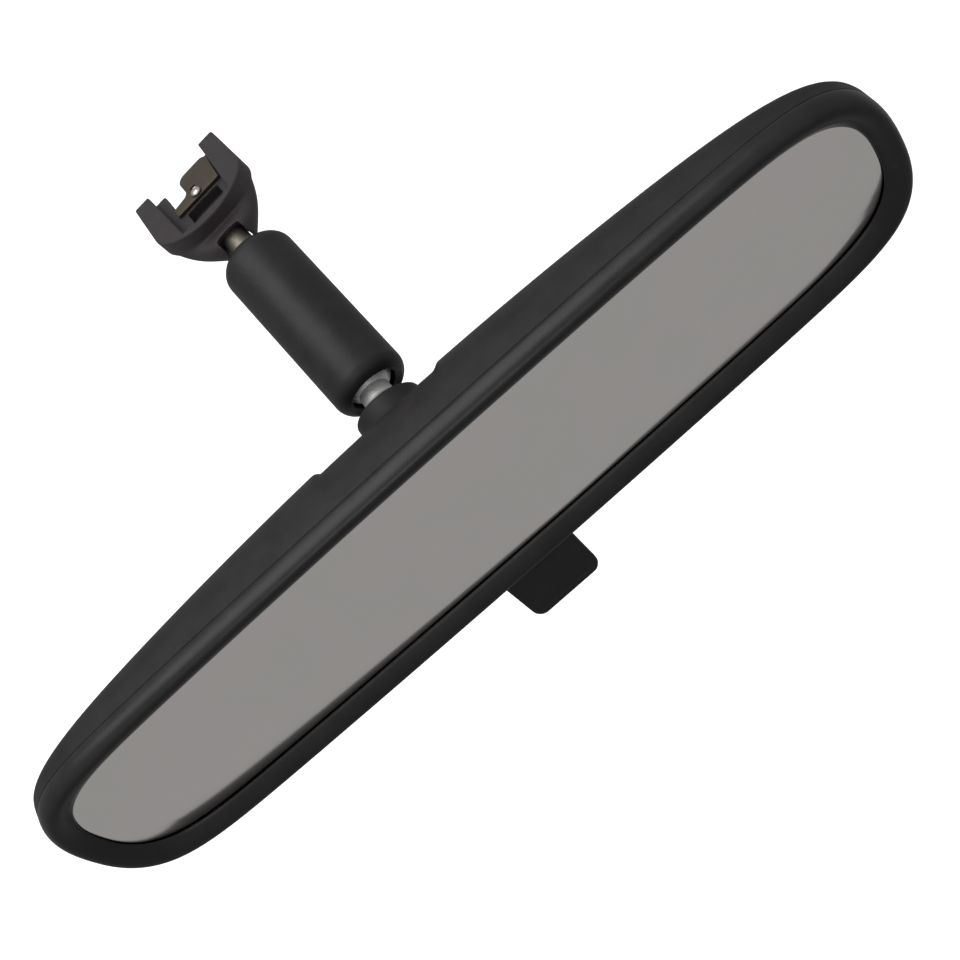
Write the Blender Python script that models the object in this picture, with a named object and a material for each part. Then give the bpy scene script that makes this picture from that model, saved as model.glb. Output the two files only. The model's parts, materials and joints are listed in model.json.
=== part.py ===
"""Interior rearview mirror: a prismatic day/night head on a two-ball arm, with a foot that slides on a
windshield button. Units are metres. The origin is the middle of the foot's mating face. The glass faces
-Y, the long axis runs along X, and +Z is up."""

import bmesh
import bpy
from math import acos, asin, atan2, cos, pi, radians, sin, sqrt
from mathutils import Matrix, Vector

MM = 0.001

# ---- driving dimensions, in millimetres and degrees ----
VIEW_WIDTH = 252.0  # glass seen inside the bezel
VIEW_HEIGHT = 49.4
EDGE_SAG = 2.45  # how far the long edges fall from the middle to the ends
END_POWER = 2.4  # roundness of the corners at the ends: 2 is an ellipse, more is squarer
BEZEL_WIDTH = 6.8
BEZEL_PROUD = 3.6  # bezel crest in front of the glass
CASE_DEPTH = 26.75  # case back behind the glass, in the middle
CASE_DEPTH_FALL = 14.4  # how much shallower it is at the ends
CASE_BAND = 5.0  # the sides run straight back this far before they round
CASE_POWER = 2.5  # roundness of the back: 2 is an ellipse, more is squarer
CASE_WALL = 2.0
BACK_WALL = 3.4  # thicker, because the recess is cut from it
SEAM_Y = 1.9  # the bezel meets the case here
GLASS_LAP = 1.0  # glass hidden behind the bezel on each side
GLASS_THIN = 3.0  # prism thickness at the bottom edge
GLASS_THICK = 5.0  # and at the top edge
PAD_THICK = 1.0
GAP = 0.3  # clearance between neighbouring pieces

BALL_RADIUS = 8.0
BALL_SPACING = 40.8
SEAT_WALL = 0.65
TUBE_WALL = 1.4
TUBE_RADIUS = BALL_RADIUS + SEAT_WALL + 2 * GAP + TUBE_WALL
TUBE_FILLET = 4.5
TUBE_END = BALL_RADIUS  # end of the tube beyond the ball's centre
MOUTH_ANGLE = 46.0  # half angle of the tube's mouth, seen from the ball's centre
UPPER_NECK_RADIUS = 3.8
LOWER_NECK_RADIUS = 4.3
FLANGE_RADIUS = 7.3

FOOT_WIDTH = 32.4
FOOT_LENGTH = 32.0
FOOT_THICK = 5.6
BUTTON_WIDE = 21.0  # channel width at the open end
BUTTON_NARROW = 17.6  # and at the closed end
CHANNEL_LIP = 1.5
CHANNEL_DEPTH = 3.9
UNDERCUT = 1.1
FOOT_NECK = 15.7  # upper ball centre to the foot's socket
NECK_LEAN = 64.7  # neck axis from the mating face's normal

ARM_RISE = 17.0
ARM_SWING = 3.9
FOOT_RAKE = 6.0
FOOT_TURN = 5.5
MOUNT_X = -1.4  # the stud stands this far from the middle of the case
BALL_BEHIND = 50.4  # lower ball centre behind the glass
BALL_UP = 10.3

TILT_PIN_RADIUS = 1.5
TILT_PIN_FROM_BALL = 39.0
BRACKET_WIDTH = 30.0
BRACKET_THICK = 1.6
PLATE_FROM_BALL = 33.4
SCREW_REACH = 9.0  # bracket screws from the stud's axis
COLLAR_RADIUS = 9.6
COLLAR_FROM_BALL = 12.6
COLLAR_BORE = 8.6
COLLAR_LENGTH = 18.6  # down to its foot inside the case
COLLAR_DROP = 0.95  # the collar is lower than the stud at rest, because the case rocks up
RECESS_WIDTH = 38.4
RECESS_DEPTH = 2.2
RECESS_START = 9.0  # it fades out towards the straight part of the sides

LEVER_WIDTH = 24.0
LEVER_THICK = 2.4
LEVER_PIVOT_Y = 9.0
LEVER_PIVOT_UP = 4.7  # above the lower edge of the glass
LEVER_PIVOT_Z = LEVER_PIVOT_UP - VIEW_HEIGHT / 2
LEVER_TIP_Y = -1.8
LEVER_REACH = 26.2  # below the lower edge of the glass
LEVER_TIP_Z = -VIEW_HEIGHT / 2 - LEVER_REACH
LEVER_BARREL = 2.6
LEVER_PIN_RADIUS = 1.1
LEVER_FLIP = 35.0
RUNNING = 0.05  # radial clearance of a pin in its bore

RING_POINTS = 72
PILLOW_LEVELS = [0, 12, 24, 36, 48, 60, 72, 82]
SIDES = {"left": -1, "right": 1}
LEAF_THICK = 0.5
SPRING_FOOT_Y = 16.6
YZ_TO_SIDE = Matrix(((0, 0, 1, 0), (1, 0, 0, 0), (0, 1, 0, 0), (0, 0, 0, 1)))  # stands a (y, z) prism along X


def clear_scene():
    for obj in list(bpy.data.objects):
        bpy.data.objects.remove(obj, do_unlink=True)


def material(name, color, roughness, metallic=0.0):
    made = bpy.data.materials.new(name)
    made.use_nodes = True
    shader = made.node_tree.nodes["Principled BSDF"]
    shader.inputs["Base Color"].default_value = (*color, 1.0)
    shader.inputs["Roughness"].default_value = roughness
    shader.inputs["Metallic"].default_value = metallic
    return made


def empty(name, place, parent=None):
    made = bpy.data.objects.new(name, None)
    bpy.context.scene.collection.objects.link(made)
    made.parent = parent
    made.matrix_local = place
    return made


def shift(x, y, z):
    """A move in millimetres."""
    return Matrix.Translation((x * MM, y * MM, z * MM))


def turn(degrees, axis):
    return Matrix.Rotation(radians(degrees), 4, axis)


def add_object(name, mesh_data, parent, finish=None, smooth=30.0):
    """Turns a bmesh in millimetres into an object under parent."""
    bmesh.ops.remove_doubles(mesh_data, verts=mesh_data.verts, dist=0.0005)
    bmesh.ops.recalc_face_normals(mesh_data, faces=mesh_data.faces)
    bmesh.ops.scale(mesh_data, vec=(MM, MM, MM), verts=mesh_data.verts)
    mesh = bpy.data.meshes.new(name)
    mesh_data.to_mesh(mesh)
    mesh_data.free()
    mesh.shade_smooth()
    mesh.set_sharp_from_angle(angle=radians(smooth))
    made = bpy.data.objects.new(name, mesh)
    bpy.context.scene.collection.objects.link(made)
    made.parent = parent
    if finish:
        mesh.materials.append(finish)
    return made


def hide(cutter):
    cutter.hide_render = True
    cutter.display_type = "WIRE"
    return cutter


def cut(target, *cutters, operation="DIFFERENCE"):
    for cutter in cutters:
        step = target.modifiers.new(cutter.name, "BOOLEAN")
        step.operation = operation
        step.solver = "EXACT"
        step.object = hide(cutter)


# ---- mesh makers, all in millimetres ----


def loft(loops, close=False):
    """Skins rings of equal length. Open lofts get flat caps; a closed one joins its last ring to its first."""
    bm = bmesh.new()
    rings = [[bm.verts.new(point) for point in loop] for loop in loops]
    pairs = list(zip(rings, rings[1:]))
    if close:
        pairs.append((rings[-1], rings[0]))
    for low, high in pairs:
        for i in range(len(low)):
            j = (i + 1) % len(low)
            bm.faces.new((low[i], low[j], high[j], high[i]))
    if not close:
        bm.faces.new(rings[0])
        bm.faces.new(rings[-1])
    return bm


def revolve(profile, steps=40):
    """Turns (radius, z) points about Z. The profile is a closed section, or starts and ends on the axis."""
    bm = bmesh.new()
    rings = []
    for radius, z in profile:
        if radius < 1e-6:
            rings.append([bm.verts.new((0, 0, z))] * steps)
        else:
            angles = [2 * pi * i / steps for i in range(steps)]
            rings.append([bm.verts.new((radius * cos(a), radius * sin(a), z)) for a in angles])
    pairs = list(zip(rings, rings[1:]))
    if profile[0][0] > 1e-6:
        pairs.append((rings[-1], rings[0]))
    for low, high in pairs:
        for i in range(steps):
            j = (i + 1) % steps
            corners = []
            for vert in (low[i], low[j], high[j], high[i]):
                if vert not in corners:
                    corners.append(vert)
            if len(corners) > 2:
                bm.faces.new(corners)
    return bm


def prism(outline, low, high):
    """Extrudes an (x, y) outline from z low to z high."""
    return loft([[(x, y, low) for x, y in outline], [(x, y, high) for x, y in outline]])


def box(x0, x1, y0, y1, z0, z1):
    return prism([(x0, y0), (x1, y0), (x1, y1), (x0, y1)], z0, z1)


def cylinder(radius, low, high, steps=32):
    return revolve([(0, low), (radius, low), (radius, high), (0, high)], steps)


def moved(bm, place):
    """Applies a placement whose translation is in millimetres."""
    bmesh.ops.transform(bm, matrix=place, verts=bm.verts)
    return bm


def at(x, y, z):
    return Matrix.Translation((x, y, z))


def arc(centre_x, centre_y, radius, start, end, steps):
    """Points of an arc, angles in degrees."""
    angles = [radians(start + (end - start) * i / steps) for i in range(steps + 1)]
    return [(centre_x + radius * cos(a), centre_y + radius * sin(a)) for a in angles]


# ---- the barrel outline of the head ----


def barrel_point(half_width, half_height, angle):
    """A point of the barrel outline: nearly flat long edges that fall by EDGE_SAG, and round ends."""
    c, s = cos(angle), sin(angle)
    x = half_width * (1 if c >= 0 else -1) * abs(c) ** (1 / 7)
    z = (half_height - EDGE_SAG * (x / half_width) ** 2) * (1 if s >= 0 else -1) * abs(s) ** (2 / END_POWER)
    return x, z


def fine_angles():
    """Close angles all round; near the middle of a long edge they are spaced by x, where a tiny turn is a long way."""
    quarter = {acos((0.985 * i / 600) ** 7) for i in range(601)} | {radians(40 * i / 600) for i in range(601)}
    return sorted({t for a in quarter for t in (a, pi - a, pi + a, 2 * pi - a)} | {2 * pi})


def even_angles(count):
    """Angles whose outline points stand evenly along the barrel, with more at the round ends."""
    fine = fine_angles()
    outline = [barrel_point(VIEW_WIDTH / 2, VIEW_HEIGHT / 2, angle) for angle in fine]
    weights = []
    for (x0, z0), (x1, z1) in zip(outline, outline[1:]):
        at_end = abs(x0) > 0.36 * VIEW_WIDTH
        weights.append(sqrt((x1 - x0) ** 2 + (z1 - z0) ** 2) * (3.0 if at_end else 1.0))
    total, walked, angles = sum(weights), 0.0, []
    for angle, step in zip(fine, weights):
        if walked >= total * len(angles) / count:
            angles.append(angle)
        walked += step
    return angles[:count]


BARREL = even_angles(RING_POINTS)


def barrel(offset, y, depth_of=None):
    """The view outline grown by offset, as a ring at depth y."""
    points = [barrel_point(VIEW_WIDTH / 2 + offset, VIEW_HEIGHT / 2 + offset, a) for a in BARREL]
    return [(x, y if depth_of is None else depth_of(x, z), z) for x, z in points]


def shell_ring(shrink, back_shrink, level):
    """A ring of the case's pillow shape. Level 0 is the front rim, 90 the middle of the back."""
    share = cos(radians(level)) ** (2 / CASE_POWER)
    back = sin(radians(level)) ** (2 / CASE_POWER)
    fall = CASE_DEPTH_FALL - back_shrink + shrink
    half_width = VIEW_WIDTH / 2 + BEZEL_WIDTH - shrink
    half_height = VIEW_HEIGHT / 2 + BEZEL_WIDTH - shrink
    ring = []
    for angle in BARREL:
        x, z = barrel_point(half_width, half_height, angle)
        x, z = x * share, z * share
        depth = CASE_DEPTH - back_shrink - fall * (x / half_width) ** 2 - CASE_BAND
        ring.append((x, CASE_BAND + depth * back, z))
    return ring


# ---- head ----


def make_case(head, stud, finish):
    outer = [shell_ring(0, 0, level) for level in PILLOW_LEVELS]
    outer.insert(0, [(x, SEAM_Y + GAP, z) for x, y, z in outer[0]])
    case = add_object("mirror_case", loft(outer), head, finish, smooth=40)
    cut(case, make_recess(head))
    cut(case, make_collar(stud), operation="UNION")
    cut(case, *bore_cutters(head, stud))
    for piece in case_bosses(head):
        cut(case, piece, operation="UNION")
    cut(case, *pin_cutters(head))
    return case


def make_recess(head):
    """The shallow dish in the back: what lies between the back and a shallower back, for the collar's width."""
    half, far = RECESS_WIDTH / 2, CASE_DEPTH + 10
    outline = [(MOUNT_X - half - 2, far), (MOUNT_X - half, RECESS_START), (MOUNT_X + half, RECESS_START)]
    outline.append((MOUNT_X + half + 2, far))
    recess = add_object("recess_cutter", prism(outline, -45, 45), head)
    floor = [shell_ring(0, RECESS_DEPTH, level) for level in PILLOW_LEVELS]
    floor.insert(0, [(x, SEAM_Y, z) for x, y, z in floor[0]])
    cut(recess, add_object("recess_floor", loft(floor), head))
    return recess


def make_collar(stud):
    """A flared boss round the stud, standing out of the back of the case."""
    low, high = -COLLAR_FROM_BALL - COLLAR_LENGTH, -COLLAR_FROM_BALL
    section = [(0, low), (COLLAR_RADIUS + 4.9, low), (COLLAR_RADIUS + 2.8, low + 5.0)]
    section += [(COLLAR_RADIUS + 1.0, low + 9.5), (COLLAR_RADIUS, high - 1.6)]
    section += [(COLLAR_RADIUS - 0.3, high - 0.5), (COLLAR_RADIUS - 0.8, high), (0, high)]
    return add_object("collar", moved(revolve(section, 36), at(0, COLLAR_DROP, 0)), stud)


def bore_cutters(head, stud):
    """The stud's way through the collar, and the hollow behind it that clears the bracket."""
    bore = moved(cylinder(COLLAR_BORE, -COLLAR_FROM_BALL - 20, 5), at(0, COLLAR_DROP, 0))
    inside = [shell_ring(CASE_WALL, BACK_WALL, level) for level in PILLOW_LEVELS]
    inside.insert(0, [(x, SEAM_Y - 1, z) for x, y, z in inside[0]])
    hollow = add_object("hollow", loft(inside), head)
    slot = box(-LEVER_WIDTH / 2 - 0.7, LEVER_WIDTH / 2 + 0.7, SEAM_Y + 1.2, 15.5, -40, -17)
    return hollow, add_object("bore", bore, stud), add_object("lever_slot", slot, head)


def case_bosses(head):
    """Ears inside the back that hold the tilt pin, and ears at the bottom that hold the lever's pin."""
    pin_y, pin_z = tilt_pin_place()
    for side in (-1, 1):
        x = MOUNT_X + side * (BRACKET_WIDTH / 2 + 2.3)
        back = CASE_DEPTH - RECESS_DEPTH - 0.8
        ear = box(x - 1.3, x + 1.3, pin_y - 3.6, back, pin_z - 3.6, pin_z + 3.6)
        yield add_object("pin_ear", ear, head)
    for side in (-1, 1):
        x = side * (LEVER_WIDTH / 2 + 2.3)
        low = -(VIEW_HEIGHT / 2 + BEZEL_WIDTH) + 2.6
        ear = box(x - 1.3, x + 1.3, LEVER_PIVOT_Y - 2.6, LEVER_PIVOT_Y + 5.0, low, LEVER_PIVOT_Z + 2.6)
        yield add_object("lever_ear", ear, head)
    y, z = spring_screw_place()
    boss = cylinder(3.0, LEAF_THICK / 2 + GAP, CASE_DEPTH - BACK_WALL + 1.2 - y, 20)
    yield add_object("screw_boss", moved(boss, at(0, y, z) @ turn(-90, "X")), head)


def tilt_pin_place():
    """The tilt pin crosses the stud's axis."""
    rise = radians(ARM_RISE)
    return BALL_BEHIND - TILT_PIN_FROM_BALL * cos(rise), BALL_UP - TILT_PIN_FROM_BALL * sin(rise)


def along_x(bm, x, y, z):
    """Stands a piece made about Z along X, with its z = 0 at the point."""
    return moved(bm, at(x, y, z) @ turn(90, "Y"))


def pin_cutters(head):
    pin_y, pin_z = tilt_pin_place()
    reach = BRACKET_WIDTH / 2 + 8
    tilt = along_x(cylinder(TILT_PIN_RADIUS + RUNNING, -reach, reach, 24), MOUNT_X, pin_y, pin_z)
    reach = LEVER_WIDTH / 2 + 8
    flip = along_x(cylinder(LEVER_PIN_RADIUS + RUNNING, -reach, reach, 24), 0, LEVER_PIVOT_Y, LEVER_PIVOT_Z)
    y, z = spring_screw_place()
    hole = moved(cylinder(0.95, -1, 4.0, 16), at(0, y, z) @ turn(-90, "X"))
    named = {"tilt_bore": tilt, "flip_bore": flip, "screw_hole": hole}
    return [add_object(name, cutter, head) for name, cutter in named.items()]


def make_bezel(head, finish):
    """A ring that slopes up from the glass to a low round crest, and a tongue that snaps inside the case."""
    w, proud = BEZEL_WIDTH, BEZEL_PROUD
    section = [(0.0, -GAP), (0.25, -0.26 * proud), (0.22 * w, -0.6 * proud), (0.38 * w, -0.84 * proud)]
    section += [(0.55 * w, -proud), (0.72 * w, -0.96 * proud), (0.86 * w, -0.72 * proud)]
    section += [(0.95 * w, -0.38 * proud), (w, 0.05 * proud), (w, SEAM_Y)]
    tongue_out = w - CASE_WALL - GAP
    tongue_in = GLASS_LAP + GAP
    section += [(tongue_out, SEAM_Y), (tongue_out, SEAM_Y + 2.9), (tongue_in, SEAM_Y + 2.9)]
    section += [(tongue_in, -GAP)]
    loops = [barrel(offset, y) for offset, y in section]
    bezel = add_object("front_bezel", loft(loops, close=True), head, finish, smooth=50)
    half = LEVER_WIDTH / 2 + 0.7
    low = -VIEW_HEIGHT / 2 - BEZEL_WIDTH - 2
    cut(bezel, add_object("tongue_gap", box(-half, half, SEAM_Y + 0.2, SEAM_Y + 6, low, low + 10), head))
    return bezel


def glass_back(x, z):
    """The silvered back face leans, so the glass is thicker at the top."""
    middle = (GLASS_THIN + GLASS_THICK) / 2
    return middle + (GLASS_THICK - GLASS_THIN) / 2 * z / (VIEW_HEIGHT / 2)


def make_glass(head, finish):
    lap = GLASS_LAP
    loops = [barrel(lap - 0.5, 0.0), barrel(lap, 0.5), barrel(lap, 0.0, glass_back)]
    return add_object("prism_glass", loft(loops), head, finish)


def make_pad(head, finish):
    front = barrel(-2.0, 0.0, lambda x, z: glass_back(x, z) + GAP)
    back = barrel(-2.0, 0.0, lambda x, z: glass_back(x, z) + GAP + PAD_THICK)
    return add_object("backing_pad", loft([front, back]), head, finish)


def make_tilt_pin(head, finish):
    pin_y, pin_z = tilt_pin_place()
    half = BRACKET_WIDTH / 2 + 5.6
    pin = cylinder(TILT_PIN_RADIUS, -half, half, 24)
    return add_object("tilt_pin", along_x(pin, MOUNT_X, pin_y, pin_z), head, finish)


def make_pin_clips(head, finish):
    """Two retaining rings, just outside the case's ears."""
    pin_y, pin_z = tilt_pin_place()
    bore = TILT_PIN_RADIUS + RUNNING
    section = [(bore, -0.4), (3.2, -0.4), (3.2, 0.4), (bore, 0.4)]
    for name, side in SIDES.items():
        x = MOUNT_X + side * (BRACKET_WIDTH / 2 + 4.5)
        add_object("pin_clip_" + name, along_x(revolve(section, 24), x, pin_y, pin_z), head, finish)


def make_lever_pin(head, finish):
    half = LEVER_WIDTH / 2 + 3.4
    pin = cylinder(LEVER_PIN_RADIUS, -half, half, 20)
    return add_object("lever_pin", along_x(pin, 0, LEVER_PIVOT_Y, LEVER_PIVOT_Z), head, finish)


def toggle_outline():
    """Side view (y, z) of the leaf spring, from its foot on the back to its nose above the lever's cam."""
    nose_z = LEVER_PIVOT_Z + LEVER_BARREL + 1.0
    foot_y = SPRING_FOOT_Y
    return [(foot_y, nose_z + 8.4), (foot_y, nose_z + 3.2), (foot_y - 1.4, nose_z + 1.4),
            (foot_y - 4.4, nose_z + 0.5), (LEVER_PIVOT_Y - 0.4, nose_z), (LEVER_PIVOT_Y - 3.0, nose_z + 1.0)]


def make_toggle_spring(head, finish):
    """A leaf spring 7 mm wide that presses on the lever's barrel."""
    line = [Vector(point) for point in toggle_outline()]
    sides = []
    for i, point in enumerate(line):
        before, after = line[max(i - 1, 0)], line[min(i + 1, len(line) - 1)]
        along = (after - before).normalized()
        sides.append((point, Vector((-along.y, along.x)) * LEAF_THICK / 2))
    outline = [tuple(p + n) for p, n in sides] + [tuple(p - n) for p, n in reversed(sides)]
    made = add_object("toggle_spring", moved(prism(outline, -3.5, 3.5), YZ_TO_SIDE), head, finish)
    y, z = spring_screw_place()
    hole = moved(cylinder(1.3, -3, 3, 16), at(0, y, z) @ turn(90, "X"))
    cut(made, add_object("leaf_hole", hole, head))
    return made


def spring_screw_place():
    """The screw crosses the leaf's upright foot."""
    return SPRING_FOOT_Y, LEVER_PIVOT_Z + LEVER_BARREL + 6.6


def make_spring_screw(head, finish):
    """Pan-head screw that holds the leaf spring's foot to a boss on the back."""
    y, z = spring_screw_place()
    seat = -LEAF_THICK / 2 - GAP
    profile = [(0, seat - 1.4), (1.9, seat - 1.2), (2.3, seat - 0.5), (2.3, seat), (0.9, seat), (0.9, 3.4), (0, 3.4)]
    screw = moved(revolve(profile[::-1], 18), at(0, y, z) @ turn(-90, "X"))
    return add_object("spring_screw", screw, head, finish)


# ---- day/night lever ----


def make_lever(pivot, finish):
    """The tab hangs from a barrel on the pin: its side view is an outline, its plan has round corners."""
    tip_y, tip_z = LEVER_TIP_Y - LEVER_PIVOT_Y, LEVER_TIP_Z - LEVER_PIVOT_Z
    half = LEVER_WIDTH / 2
    barrel_part = along_x(cylinder(LEVER_BARREL, -half + 0.4, half - 0.4, 28), 0, 0, 0)
    lever = add_object("day_night_lever", barrel_part, pivot, finish)
    knee_y, knee_z = -5.0, -10.0
    stem = [(-1.2, -0.6), (1.2, -0.6), (knee_y + LEVER_THICK, knee_z), (tip_y + LEVER_THICK, tip_z + 1.0)]
    stem += [(tip_y + 1.6, tip_z), (tip_y + 0.8, tip_z), (tip_y, tip_z + 1.0), (knee_y, knee_z)]
    side = prism(stem, -half, half)
    side = moved(side, YZ_TO_SIDE)
    blade = add_object("lever_blade", side, pivot)
    corner = 4.2
    plan = [(-half, 6), (-half, tip_z + corner)] + arc(-half + corner, tip_z + corner, corner, 180, 270, 6)[1:]
    plan += arc(half - corner, tip_z + corner, corner, 270, 360, 6) + [(half, 6)]
    face = moved(prism(plan, -20, 20), turn(90, "X"))
    cut(blade, add_object("lever_plan", face, pivot), operation="INTERSECT")
    cut(lever, blade, operation="UNION")
    bore = along_x(cylinder(LEVER_PIN_RADIUS + RUNNING, -half - 2, half + 2, 20), 0, 0, 0)
    cut(lever, add_object("lever_bore", bore, pivot))
    return lever


# ---- bracket and lower stud; z runs from the case to the ball, z = 0 is the ball's centre ----


def ball_and_neck(neck_radius, neck_end):
    """Profile of a ball with its neck, from the ball's far pole down to the neck's end at z = -neck_end."""
    start = acos(neck_radius / BALL_RADIUS)
    points = [(0, BALL_RADIUS)]
    steps = 12
    for i in range(1, steps + 1):
        angle = pi / 2 - (pi / 2 + start) * i / steps
        points.append((BALL_RADIUS * cos(angle), BALL_RADIUS * sin(angle)))
    return points + [(neck_radius, -neck_end)]


def make_lower_stud(stud, finish):
    """Ball, waist and flared flange, then a square base plate that the bracket screws to."""
    waist_end = 9.9
    profile = ball_and_neck(LOWER_NECK_RADIUS, waist_end)
    flare = FLANGE_RADIUS - LOWER_NECK_RADIUS
    for i in range(1, 6):
        angle = pi / 2 * i / 5
        profile.append((LOWER_NECK_RADIUS + flare * (1 - cos(angle)), -waist_end - 2.2 * sin(angle)))
    base = PLATE_FROM_BALL - 2.4
    profile += [(FLANGE_RADIUS, -19.0), (5.6, -20.4), (5.6, -base - 0.6), (0, -base - 0.6)]
    made = add_object("lower_ball_stud", revolve(profile, 32), stud, finish)
    half = BRACKET_WIDTH / 2 - BRACKET_THICK - GAP - 0.2
    plate = add_object("stud_plate", box(-half, half, -6.5, 6.5, -PLATE_FROM_BALL, -base), stud)
    cut(made, plate, operation="UNION")
    for side in (-1, 1):
        hole = moved(cylinder(1.25, -PLATE_FROM_BALL - 1, -base + 1, 20), at(side * SCREW_REACH, 0, 0))
        cut(made, add_object("plate_hole", hole, stud))
    return made


def make_bracket(stud, finish):
    """A stamped channel: a web behind the stud's plate, and two ears that the tilt pin passes."""
    half, thick = BRACKET_WIDTH / 2, BRACKET_THICK
    web = -PLATE_FROM_BALL - GAP
    outline = [(-half, -6.5), (half, -6.5), (half, 6.5), (-half, 6.5)]
    made = add_object("tilt_bracket", prism(outline, web - thick, web), stud, finish)
    ear_low = -TILT_PIN_FROM_BALL - 2.8
    for side in (-1, 1):
        inner, outer = side * (half - thick), side * half
        ear = box(min(inner, outer), max(inner, outer), -3.6, 3.6, ear_low, web - thick / 2)
        cut(made, add_object("bracket_ear", ear, stud), operation="UNION")
        hole = moved(cylinder(1.45, web - 3, web + 1, 20), at(side * SCREW_REACH, 0, 0))
        cut(made, add_object("bracket_hole", hole, stud))
    bore = along_x(cylinder(TILT_PIN_RADIUS + RUNNING, -half - 2, half + 2, 24), 0, 0, -TILT_PIN_FROM_BALL)
    cut(made, add_object("bracket_bore", bore, stud))
    return made


def make_bracket_screws(stud, finish):
    """Two pan-head screws: heads under the web, shanks up through bracket and plate."""
    head = -PLATE_FROM_BALL - GAP - BRACKET_THICK - GAP
    profile = [(0, -PLATE_FROM_BALL + 2.2), (0.95, -PLATE_FROM_BALL + 2.2), (0.95, head), (2.5, head)]
    profile += [(2.3, head - 0.8), (1.5, head - 1.4), (0, head - 1.5)]
    for name, side in SIDES.items():
        screw = moved(revolve(profile, 20), at(side * SCREW_REACH, 0, 0))
        add_object("bracket_screw_" + name, screw, stud, finish)


# ---- arm; z runs from the lower ball (0) to the upper ball (BALL_SPACING) ----


def sphere_band(inner, outer, start, end, steps=3):
    """Section of a spherical shell between two angles from +Z, in degrees."""
    angles = [radians(start + (end - start) * i / steps) for i in range(steps + 1)]
    out = [(outer * sin(a), outer * cos(a)) for a in angles]
    back = [(inner * sin(a), inner * cos(a)) for a in reversed(angles)]
    return out + back


def make_ring(name, parent, finish, up):
    """The nylon ring between ball and tube, on the mouth's side. Up is the mouth's direction along Z."""
    inner = BALL_RADIUS + GAP
    section = sphere_band(inner, inner + SEAT_WALL, 74, 98)
    return add_object(name, revolve([(r, z * up) for r, z in section], 28), parent, finish)


def make_cup(name, parent, finish, up):
    """The cup that the spring presses on the ball, on the side away from the mouth."""
    inner = BALL_RADIUS + GAP
    section = sphere_band(inner, inner + SEAT_WALL, 128, 180, 5)
    section = [(max(r, 0.0) if r > 1e-4 else 0.0, z * up) for r, z in section]
    middle = len(section) // 2
    return add_object(name, revolve(section[middle:] + section[:middle], 28), parent, finish)


def tube_half_profile():
    """Outer and inner section of the lower end of the tube, from mid length down to the mouth."""
    inner = TUBE_RADIUS - TUBE_WALL
    outer_points = [(TUBE_RADIUS, BALL_SPACING / 2)]
    centre_r, centre_z = TUBE_RADIUS - TUBE_FILLET, -TUBE_END + TUBE_FILLET
    mouth = radians(MOUTH_ANGLE)
    lip = (TUBE_END - 0.2) * sin(mouth) / cos(mouth)
    last = acos((lip - centre_r) / TUBE_FILLET)
    for i in range(6):
        angle = last * i / 5
        outer_points.append((centre_r + TUBE_FILLET * cos(angle), centre_z - TUBE_FILLET * sin(angle)))
    inner_points = []
    for i in range(7):
        angle = mouth + (pi / 2 - mouth) * i / 6
        inner_points.append((inner * sin(angle), -inner * cos(angle)))
    inner_points.append((inner, BALL_SPACING / 2))
    return outer_points, inner_points


def make_tube(arm, finish):
    outer, inner = tube_half_profile()

    def mirrored(points):
        return [(r, BALL_SPACING - z) for r, z in reversed(points)]

    section = mirrored(outer)[:-1] + outer + inner + mirrored(inner)[1:]
    return add_object("arm_tube", revolve(section, 36), arm, finish, smooth=50)


def make_spring(arm, finish):
    """Six turns of round wire between the two cups, with flat closed end turns."""
    wire, radius, turns, around, sides = 0.75, 5.2, 6.5, 14, 5
    seat = sqrt((BALL_RADIUS + GAP + SEAT_WALL) ** 2 - (radius - wire) ** 2) + GAP + wire
    low, high = seat, BALL_SPACING - seat
    count = int(turns * around)
    loops = []
    for i in range(count + 1):
        share = i / count
        angle = 2 * pi * turns * share
        centre = Vector((radius * cos(angle), radius * sin(angle), low + (high - low) * share))
        out = Vector((cos(angle), sin(angle), 0))
        ring = []
        for k in range(sides):
            around_wire = 2 * pi * k / sides
            ring.append(centre + out * wire * cos(around_wire) + Vector((0, 0, wire * sin(around_wire))))
        loops.append(ring)
    return add_object("arm_spring", loft(loops), arm, finish)


# ---- foot; x across, y towards the open end, z out of the mating face ----


def foot_outline(grow=0.0):
    """The U's outer outline: straight sides with a slight taper, and an elliptic closed end."""
    half, end = FOOT_WIDTH / 2 + grow, FOOT_LENGTH / 2
    bend = -end + 12.0
    points = [(half - 0.5, end), (half, bend)]
    for i in range(1, 20):
        angle = -pi * i / 20
        points.append((half * cos(angle), bend + (12.0 + grow) * sin(angle)))
    return points + [(-half, bend), (-half + 0.5, end)]


def foot_ball():
    """Upper ball centre in the foot's frame."""
    lean = radians(NECK_LEAN)
    socket_y, socket_z = -17.0, -9.5
    return socket_y - FOOT_NECK * sin(lean), socket_z - FOOT_NECK * cos(lean)


def make_foot(foot, upper_ball, finish):
    made = add_object("windshield_foot", prism(foot_outline(), -FOOT_THICK, 0), foot, finish)
    cut(made, make_funnel(foot), operation="UNION")
    cut(made, *channel_cutters(foot))
    bore = cylinder(UPPER_NECK_RADIUS + GAP, 5, FOOT_NECK + 4.6, 28)
    slot = box(-4.4, 4.4, 0, 14, 5, FOOT_NECK + 1.0)
    cut(made, add_object("stud_bore", bore, upper_ball), add_object("throat", slot, upper_ball))
    return made


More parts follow.
